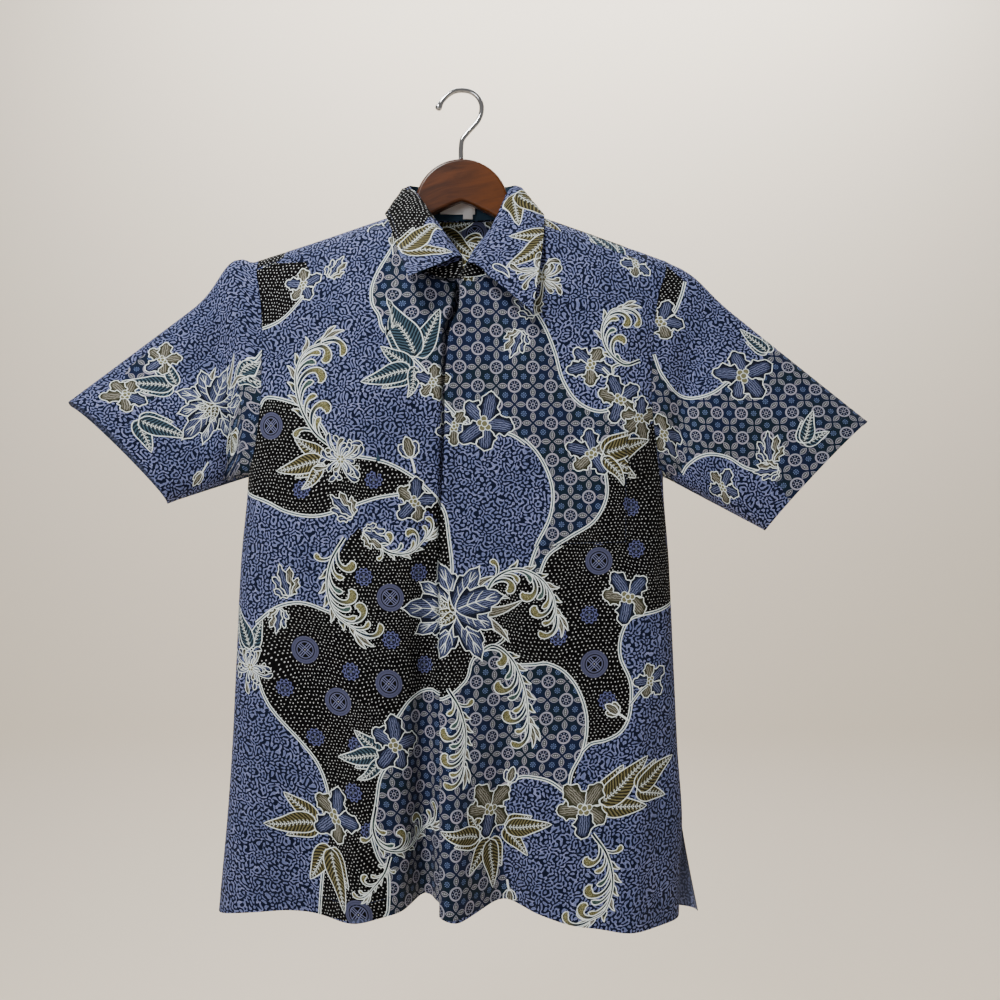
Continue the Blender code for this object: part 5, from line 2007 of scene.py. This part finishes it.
made = {}
for name, sheet in SHEETS.items():
    outer, inner = GROUNDS.get(name, ("curls", "reverse"))
    made[name] = cloth("visual_" + name, sheet, PRINTS[name], base=outer, inner_base=inner, inner_shapes=INSIDE.get(name, ()),
                       rim_ink="lattice" if name == "chest_pocket" else "core")


# =====================================================================
# 7. Hanger, hook, labels and stitching
# =====================================================================
def add_mesh(name, verts, faces, material, smooth_=True, uv=None):
    mesh = bpy.data.meshes.new(name)
    mesh.from_pydata((np.asarray(verts, float) * MM).tolist(), [], [tuple(int(i) for i in f) for f in faces])
    mesh.polygons.foreach_set("use_smooth", [smooth_] * len(mesh.polygons))
    if uv is not None:
        layer = mesh.uv_layers.new(name="Cloth")
        index = np.zeros(len(mesh.loops), int)
        mesh.loops.foreach_get("vertex_index", index)
        layer.data.foreach_set("uv", np.asarray(uv, np.float32)[index].ravel())
    mesh.materials.append(material)
    mesh.update()
    obj = bpy.data.objects.new(name, mesh)
    bpy.context.scene.collection.objects.link(obj)
    return obj


def make_wood():
    """Dark red mahogany under gloss lacquer: long figure, fine pores, a lighter orange streak."""
    p = Paint("wood_mahogany")
    x, y = p.uv("Cloth")
    bend = p.noise(x, y, 0.012, 1.0, 0.5, 2.0) * 60.0
    figure = p.noise(x * 0.16 + bend * 0.05, y * 1.0 - x * 0.28 + bend * 0.4, 0.085, 4.0, 0.62, 4.0, 0.5)
    streak = p.noise(x * 0.5, y * 2.2 - x * 0.5, 0.05, 2.0, 0.6, 8.0)
    pores = p.noise(x * 0.35, y * 3.2 - x * 0.8, 0.9, 2.0, 0.6, 1.0)
    colour = p.mix(figure.step(0.34, 0.68), srgb("#301506"), srgb("#542b0f"))
    warm = (x * 0.02 + (streak - 0.5) * 1.2).step(-0.3, 0.7)
    colour = p.mix(warm * 0.6, colour, srgb("#5e3006"))
    colour = p.mix(streak.step(0.52, 0.66) * 0.3, colour, srgb("#331407"))
    colour = p.mix(pores.step(0.6, 0.78) * 0.5, colour, srgb("#2c1006"))
    p.t.links.new(colour.s, p.bsdf.inputs["Base Color"])
    p.bsdf.inputs["Roughness"].default_value = 0.32
    p.bsdf.inputs["Specular IOR Level"].default_value = 0.3
    p.bsdf.inputs["Coat Weight"].default_value = 0.14
    p.bsdf.inputs["Coat Roughness"].default_value = 0.22
    bump = p.t.nodes.new("ShaderNodeBump")
    bump.inputs["Strength"].default_value = 0.25
    bump.inputs["Distance"].default_value = 0.0003
    height = pores * -0.4 + figure * 0.5
    p.t.links.new(height.s, bump.inputs["Height"])
    p.t.links.new(bump.outputs[0], p.bsdf.inputs["Normal"])
    return p.m


def make_steel():
    m = bpy.data.materials.new("steel_polished")
    m.use_nodes = True
    b = m.node_tree.nodes["Principled BSDF"]
    b.inputs["Base Color"].default_value = (0.46, 0.46, 0.47, 1)
    b.inputs["Metallic"].default_value = 1.0
    b.inputs["Roughness"].default_value = 0.09
    t = m.node_tree
    noise = t.nodes.new("ShaderNodeTexNoise")
    noise.inputs["Scale"].default_value = 900.0
    bump = t.nodes.new("ShaderNodeBump")
    bump.inputs["Strength"].default_value = 0.05
    bump.inputs["Distance"].default_value = 0.0001
    t.links.new(noise.outputs[0], bump.inputs["Height"])
    t.links.new(bump.outputs[0], b.inputs["Normal"])
    return m


def make_tape():
    """A white woven label: close satin ribs across, a soft fuzz of lighter and darker white."""
    p = Paint("tape_white")
    x, y = p.uv("Cloth")
    rib = (y * (2 * PI / 0.42)).sin() * 0.5 + (x * (2 * PI / 0.9)).sin() * 0.25
    fuzz = p.noise(x, y, 1.4, 2.0, 0.6, 4.0)
    colour = p.mix(fuzz, srgb("#e9e6e4"), srgb("#f7f4f2"))
    colour = p.times(colour, rib * 0.05 + 0.97)
    p.t.links.new(colour.s, p.bsdf.inputs["Base Color"])
    p.bsdf.inputs["Roughness"].default_value = 0.6
    p.bsdf.inputs["Sheen Weight"].default_value = 0.15
    bump = p.t.nodes.new("ShaderNodeBump")
    bump.inputs["Strength"].default_value = 0.5
    bump.inputs["Distance"].default_value = 0.0002
    p.t.links.new(rib.s, bump.inputs["Height"])
    p.t.links.new(bump.outputs[0], p.bsdf.inputs["Normal"])
    return p.m


def make_thread():
    p = Paint("thread_blue")
    x, y = p.uv("Cloth")
    twist = ((x + y) * (2 * PI / 0.5)).sin()
    colour = p.mix(twist * 0.5 + 0.5, srgb("#161f3a"), srgb("#34416a"))
    p.t.links.new(colour.s, p.bsdf.inputs["Base Color"])
    p.bsdf.inputs["Roughness"].default_value = 0.7
    return p.m


def hanger_piece():
    arch = [(50 * math.cos(a), -122 + 50 * math.sin(a)) for a in np.linspace(PI, 0, 61)]
    half = smooth([(50, -122), (51.5, -127), (56.5, -132.5), (64, -137), (140, -163), (213, -189.2)], 3.0).tolist()[1:]
    end = [(213 + 9.5 * math.cos(a), -198.5 + 9.5 * math.sin(a)) for a in np.linspace(1.25, -1.9, 19)]
    under = smooth([(205, -207.4), (140, -183), (70, -156), (50, -143.5), (34.5, -132.9), (17, -124), (5, -118.6), (0, -117.2)], 3.0).tolist()[1:]
    right = half + end + under
    left = [(-x, z) for x, z in right[::-1]][1:]
    outline = np.array(arch + right + left)
    outline = outline[np.concatenate([[True], np.hypot(*np.diff(outline, axis=0).T) > 0.4])]
    outline = outline[::-1]  # anticlockwise
    round_, half_t = 3.2, 6.0
    rings = []
    for a in np.linspace(0, PI / 2, 7):
        rings.append((round_ * (1 - math.sin(a)), -half_t + round_ * (1 - math.cos(a))))
    rings += [(d, -y) for d, y in rings[::-1]]
    verts, faces, uv = [], [], []
    n = len(outline)
    for d, y in rings:
        loop = grown(outline, -d)
        verts += [(x, y, z) for x, z in loop]
        uv += [(x, z + y * 0.4) for x, z in loop]
    for k in range(len(rings) - 1):
        for i in range(n):
            j = (i + 1) % n
            faces.append((k * n + i, k * n + j, (k + 1) * n + j, (k + 1) * n + i))
    for k, flip in ((0, False), (len(rings) - 1, True)):
        loop = np.array([(verts[k * n + i][0], verts[k * n + i][2]) for i in range(n)])
        extra = lattice_points(loop, 9.0)
        v, f, orig = triangulate(loop, extra, [])
        ids = {}
        for q, o in enumerate(orig):
            hit = [i for i in o if i < n]
            if hit:
                ids[q] = k * n + hit[0]
        for q in np.unique(f):
            if int(q) not in ids:
                ids[int(q)] = len(verts)
                # The face is flat, at the level of its outline ring.
                verts.append((v[q][0], rings[k][1], v[q][1]))
                uv.append((v[q][0], v[q][1] + rings[k][1] * 0.4))
        for tri in f:
            t = [ids[int(i)] for i in tri]
            faces.append(tuple(t[::-1]) if flip else tuple(t))
    # Seen from the front (towards +Y), anticlockwise outlines face the viewer.
    obj = add_mesh("visual_hanger", verts, faces, make_wood(), True, uv)
    obj.data.set_sharp_from_angle(angle=0.7)
    return obj


HOOK = table(
    "x      z",
    (-1,    -71.5), (-1,    -60), (0.2,   -51), (4.5,   -44.5), (11,    -37.5), (17.5,  -29.5), (20.7,  -21),
    (20.6,  -12), (16.5,  -4.2), (9,     1), (0,     2.6), (-8.6,  1.2), (-16,   -3.4), (-21.5, -9.5), (-25,   -16),
)


def hook_piece():
    HOOK["n"] = np.arange(float(len(HOOK["x"])))
    here = np.linspace(0, len(HOOK["x"]) - 1, 150)
    line = np.stack([along(HOOK, "n", "x", here), 0 * here, along(HOOK, "n", "z", here)], axis=-1)
    line[:1, 2] = -71.8
    d = np.gradient(line, axis=0)
    d /= np.linalg.norm(d, axis=1)[:, None]
    across = np.stack([-d[:, 2], 0 * d[:, 0], d[:, 0]], axis=-1)
    # The tip swells to a small round knob.
    left = np.linalg.norm(line - line[-1], axis=1)
    r = 2.6 + 1.1 * np.exp(-((left / 4.5) ** 2)) * (here > 10)
    tip = line[-1] + d[-1] * 3.2 * np.sin(np.linspace(0, PI / 2, 8)[1:-1])[:, None]
    r = np.concatenate([r, 3.7 * np.cos(np.linspace(0, PI / 2, 8)[1:-1])])
    across = np.vstack([across, np.repeat(across[-1:], len(tip), axis=0)])
    line = np.vstack([line, tip])
    m = 28
    a = np.linspace(0, 2 * PI, m, endpoint=False)
    verts = []
    for p, c, rr in zip(line, across, r):
        for t in a:
            verts.append(p + rr * (c * math.cos(t) + np.array([0, 1, 0]) * math.sin(t)))
    faces = []
    for k in range(len(line) - 1):
        for i in range(m):
            j = (i + 1) % m
            faces.append((k * m + i, k * m + j, (k + 1) * m + j, (k + 1) * m + i))
    verts += [line[0], line[-1] + d[-1] * 0.15]
    for i in range(m):
        j = (i + 1) % m
        faces.append((len(verts) - 2, j, i))
        faces.append((len(verts) - 1, (len(line) - 1) * m + i, (len(line) - 1) * m + j))
    return add_mesh("visual_hook", verts, faces, make_steel())


def label_piece(name, left, right, top, bottom, stand_off, material):
    """A thin woven tag, its corners a little lifted."""
    nx, nz = 25, 15
    verts, uv, faces = [], [], []
    for layer in (0, 1):
        for w in np.linspace(0, 1, nz):
            z = top + (bottom - top) * w
            for s in np.linspace(0, 1, nx):
                x = left + (right - left) * s
                y = 21.2 + (z + 132) * 0.014 - 0.0026 * x * x - 2.0 - stand_off
                wave = 0.22 * math.sin(0.35 * x + 1.0) * w + 0.12 * math.cos(0.6 * x + 4 * w)
                verts.append((x, y - 0.15 - wave + (0.0 if layer == 0 else 0.45), z))
                uv.append((x, z))
    at = lambda l, i, j: l * nx * nz + i * nx + j
    for i in range(nz - 1):
        for j in range(nx - 1):
            faces.append((at(0, i, j), at(0, i + 1, j), at(0, i + 1, j + 1), at(0, i, j + 1)))
            faces.append((at(1, i, j), at(1, i, j + 1), at(1, i + 1, j + 1), at(1, i + 1, j)))
    rim = [(0, j) for j in range(nx)] + [(i, nx - 1) for i in range(1, nz)]
    rim += [(nz - 1, j) for j in range(nx - 2, -1, -1)] + [(i, 0) for i in range(nz - 2, 0, -1)]
    for k in range(len(rim)):
        a, b = rim[k], rim[(k + 1) % len(rim)]
        faces.append((at(0, *a), at(0, *b), at(1, *b), at(1, *a)))
    return add_mesh(name, verts, faces, material, True, uv)


def level(sheet, far, row=True, end=-1, keep=None):
    """Grid places that lie so many millimetres in from an edge: the last row or column, or the first."""
    run = arc(sheet.p, 0 if row else 1)
    if not row:
        run = run.T
    total = run[-1]
    out = []
    for c in range(run.shape[1]):
        want = total[c] - far if end == -1 else far
        if not 0 <= want <= total[c]:
            continue
        r = np.interp(want, run[:, c], np.arange(run.shape[0]))
        out.append((r, c) if row else (c, r))
    return np.array(out, float)


def stitches(sheet, places, pitch=3.7, dash=2.5, lift=0.12):
    """Dashes of thread along a line of grid places."""
    p = sheet.sample(sheet.p, places[:, 0], places[:, 1])
    n = sheet.sample(sheet.n, places[:, 0], places[:, 1])
    run = np.concatenate([[0], np.cumsum(np.linalg.norm(np.diff(p, axis=0), axis=1))])
    starts = np.arange(pitch * 0.5, run[-1] - dash, pitch)
    verts, faces, uv = [], [], []
    pick = lambda what, s: np.array([np.interp(s, run, what[:, k]) for k in range(3)])
    for k, s0 in enumerate(starts):
        size = dash * (0.94 + 0.08 * math.sin(2.3 * k))
        a, b = pick(p, s0), pick(p, s0 + size)
        up = pick(n, s0 + size / 2)
        up /= np.linalg.norm(up)
        d = (b - a) / max(np.linalg.norm(b - a), 1e-6)
        side = np.cross(up, d)
        at = len(verts)
        for end, w, h in ((a, 0.13, -0.1), (a + d * 0.4, 0.24, lift + 0.12), (b - d * 0.4, 0.24, lift + 0.12), (b, 0.13, -0.1)):
            for q, g in ((-1, 0.0), (-0.5, 1.0), (0.5, 1.0), (1, 0.0)):
                verts.append(end + side * q * w + up * (h * g + (h if h < 0 else 0.0) * (1 - g)))
                uv.append((s0 + float((end - a) @ d), q))
        for i in range(3):
            for j in range(3):
                o = at + i * 4 + j
                faces.append((o, o + 4, o + 5, o + 1))
    return verts, faces, uv


def seam_lines():
    s = SHEETS
    lines = []
    for name in ("front_right", "front_left", "back"):
        sh = s[name]
        lines.append((sh, level(sh, 18.0)))
        side = level(sh, 12.0, row=False)
        if len(side):
            z = sh.sample(sh.p, side[:, 0], side[:, 1])[:, 2]
            lines.append((sh, side[(z < -738) & (z > -852)]))
    side = level(s["back"], 12.0, row=False, end=0)
    z = s["back"].sample(s["back"].p, side[:, 0], side[:, 1])[:, 2]
    lines.append((s["back"], side[(z < -738) & (z > -852)]))
    for name in ("sleeve_right", "sleeve_left"):
        lines.append((s[name], level(s[name], 21.0)))
    y = s["yoke"]
    lines.append((y, level(y, 3.0)))
    lines.append((y, level(y, 3.0, end=0)))
    k = s["chest_pocket"]
    lines.append((k, level(k, 2.4)))
    lines.append((k, level(k, 24.0, end=0)))
    for end in (-1, 0):
        lines.append((k, level(k, 2.4, row=False, end=end)))
    c = s["collar_leaf"]
    lines.append((c, level(c, 5.0)))
    for end in (-1, 0):
        lines.append((c, level(c, 5.0, row=False, end=end)))
    return lines


def stitching():
    verts, faces, uv = [], [], []
    for sheet, places in seam_lines():
        if len(places) < 3:
            continue
        v, f, t = stitches(sheet, places)
        faces += [tuple(i + len(verts) for i in q) for q in f]
        verts += v
        uv += t
    return add_mesh("visual_stitching", verts, faces, make_thread(), True, uv)


hanger = hanger_piece()
hook = hook_piece()
tape = make_tape()
neck_label = label_piece("visual_neck_label", -24.5, 13.5, -104, -125, 1.9, tape)
size_tag = label_piece("visual_size_tag", 0.5, 11, -118, -130.5, 3.1, tape)
thread = stitching()

for name, (obj, flat, area) in made.items():
    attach(obj, "root")
    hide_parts(name)
for obj, node, slot in (
    (hanger, "hanger", "stained_wood"), (hook, "hook", "polished_steel"),
    (neck_label, "neck_label", "label_tape"), (size_tag, "size_tag", "label_tape"), (thread, None, "batik_cotton"),
):
    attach(obj, "root")
    if node:
        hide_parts(node)


# =====================================================================
# 8. Camera, light and floor
# =====================================================================
cam_data = bpy.data.cameras.new("view")
cam = bpy.data.objects.new("view", cam_data)
bpy.context.scene.collection.objects.link(cam)
bpy.context.scene.camera = cam
cam.location = (0.0407, -1.0, -0.4356)
cam.rotation_euler = (PI / 2, 0, 0)
cam_data.lens = 33.66
cam_data.sensor_width = 36


def lamp(name, where, power, size, aim=(0, 0, -0.45), colour=(1, 1, 1)):
    d = bpy.data.lights.new(name, "AREA")
    d.energy = power
    d.color = colour
    d.shape = "RECTANGLE"
    d.size, d.size_y = size
    o = bpy.data.objects.new(name, d)
    o.location = where
    o.rotation_euler = (Vector(aim) - Vector(where)).to_track_quat("-Z", "Y").to_euler()
    bpy.context.scene.collection.objects.link(o)
    return o


lamp("key", (-0.5, -0.98, 0.84), 28.5, (0.34, 0.34), (0.0, 0, -0.36), (1.0, 0.98, 0.95))
lamp("fill", (-0.85, -1.7, -0.1), 9, (0.6, 0.6), (0, 0, -0.25), (0.98, 0.98, 1.0))
lamp("wall", (0.2, 0.85, 1.5), 84, (2.6, 0.7), (0.1, 1.65, -0.35), (1.0, 0.97, 0.92))
world = bpy.data.worlds.new("world")
bpy.context.scene.world = world
world.use_nodes = True
world.node_tree.nodes["Background"].inputs[0].default_value = (1.0, 0.98, 0.95, 1)
world.node_tree.nodes["Background"].inputs[1].default_value = 0.3

# A pale floor that sweeps up into the backdrop.
FLOOR_Z, REACH, ROUND = -1.6, 1.7, 0.5
side = [(-3.0, FLOOR_Z), (REACH - ROUND, FLOOR_Z)]
side += [(REACH - ROUND + ROUND * math.sin(a), FLOOR_Z + ROUND * (1 - math.cos(a))) for a in np.linspace(0, PI / 2, 24)[1:]]
side += [(REACH, 1.8)]
bm = bmesh.new()
rows = [[bm.verts.new((x, y, z)) for y, z in side] for x in (-3.2, 3.2)]
for k in range(len(side) - 1):
    bm.faces.new((rows[0][k], rows[1][k], rows[1][k + 1], rows[0][k + 1]))
me = bpy.data.meshes.new("floor")
bm.to_mesh(me)
bm.free()
me.polygons.foreach_set("use_smooth", [True] * len(me.polygons))
floor = bpy.data.objects.new("floor", me)
bpy.context.scene.collection.objects.link(floor)
fm = bpy.data.materials.new("floor")
fm.use_nodes = True
fm.node_tree.nodes["Principled BSDF"].inputs["Base Color"].default_value = srgb("#efe5d6")
fm.node_tree.nodes["Principled BSDF"].inputs["Roughness"].default_value = 0.8
me.materials.append(fm)
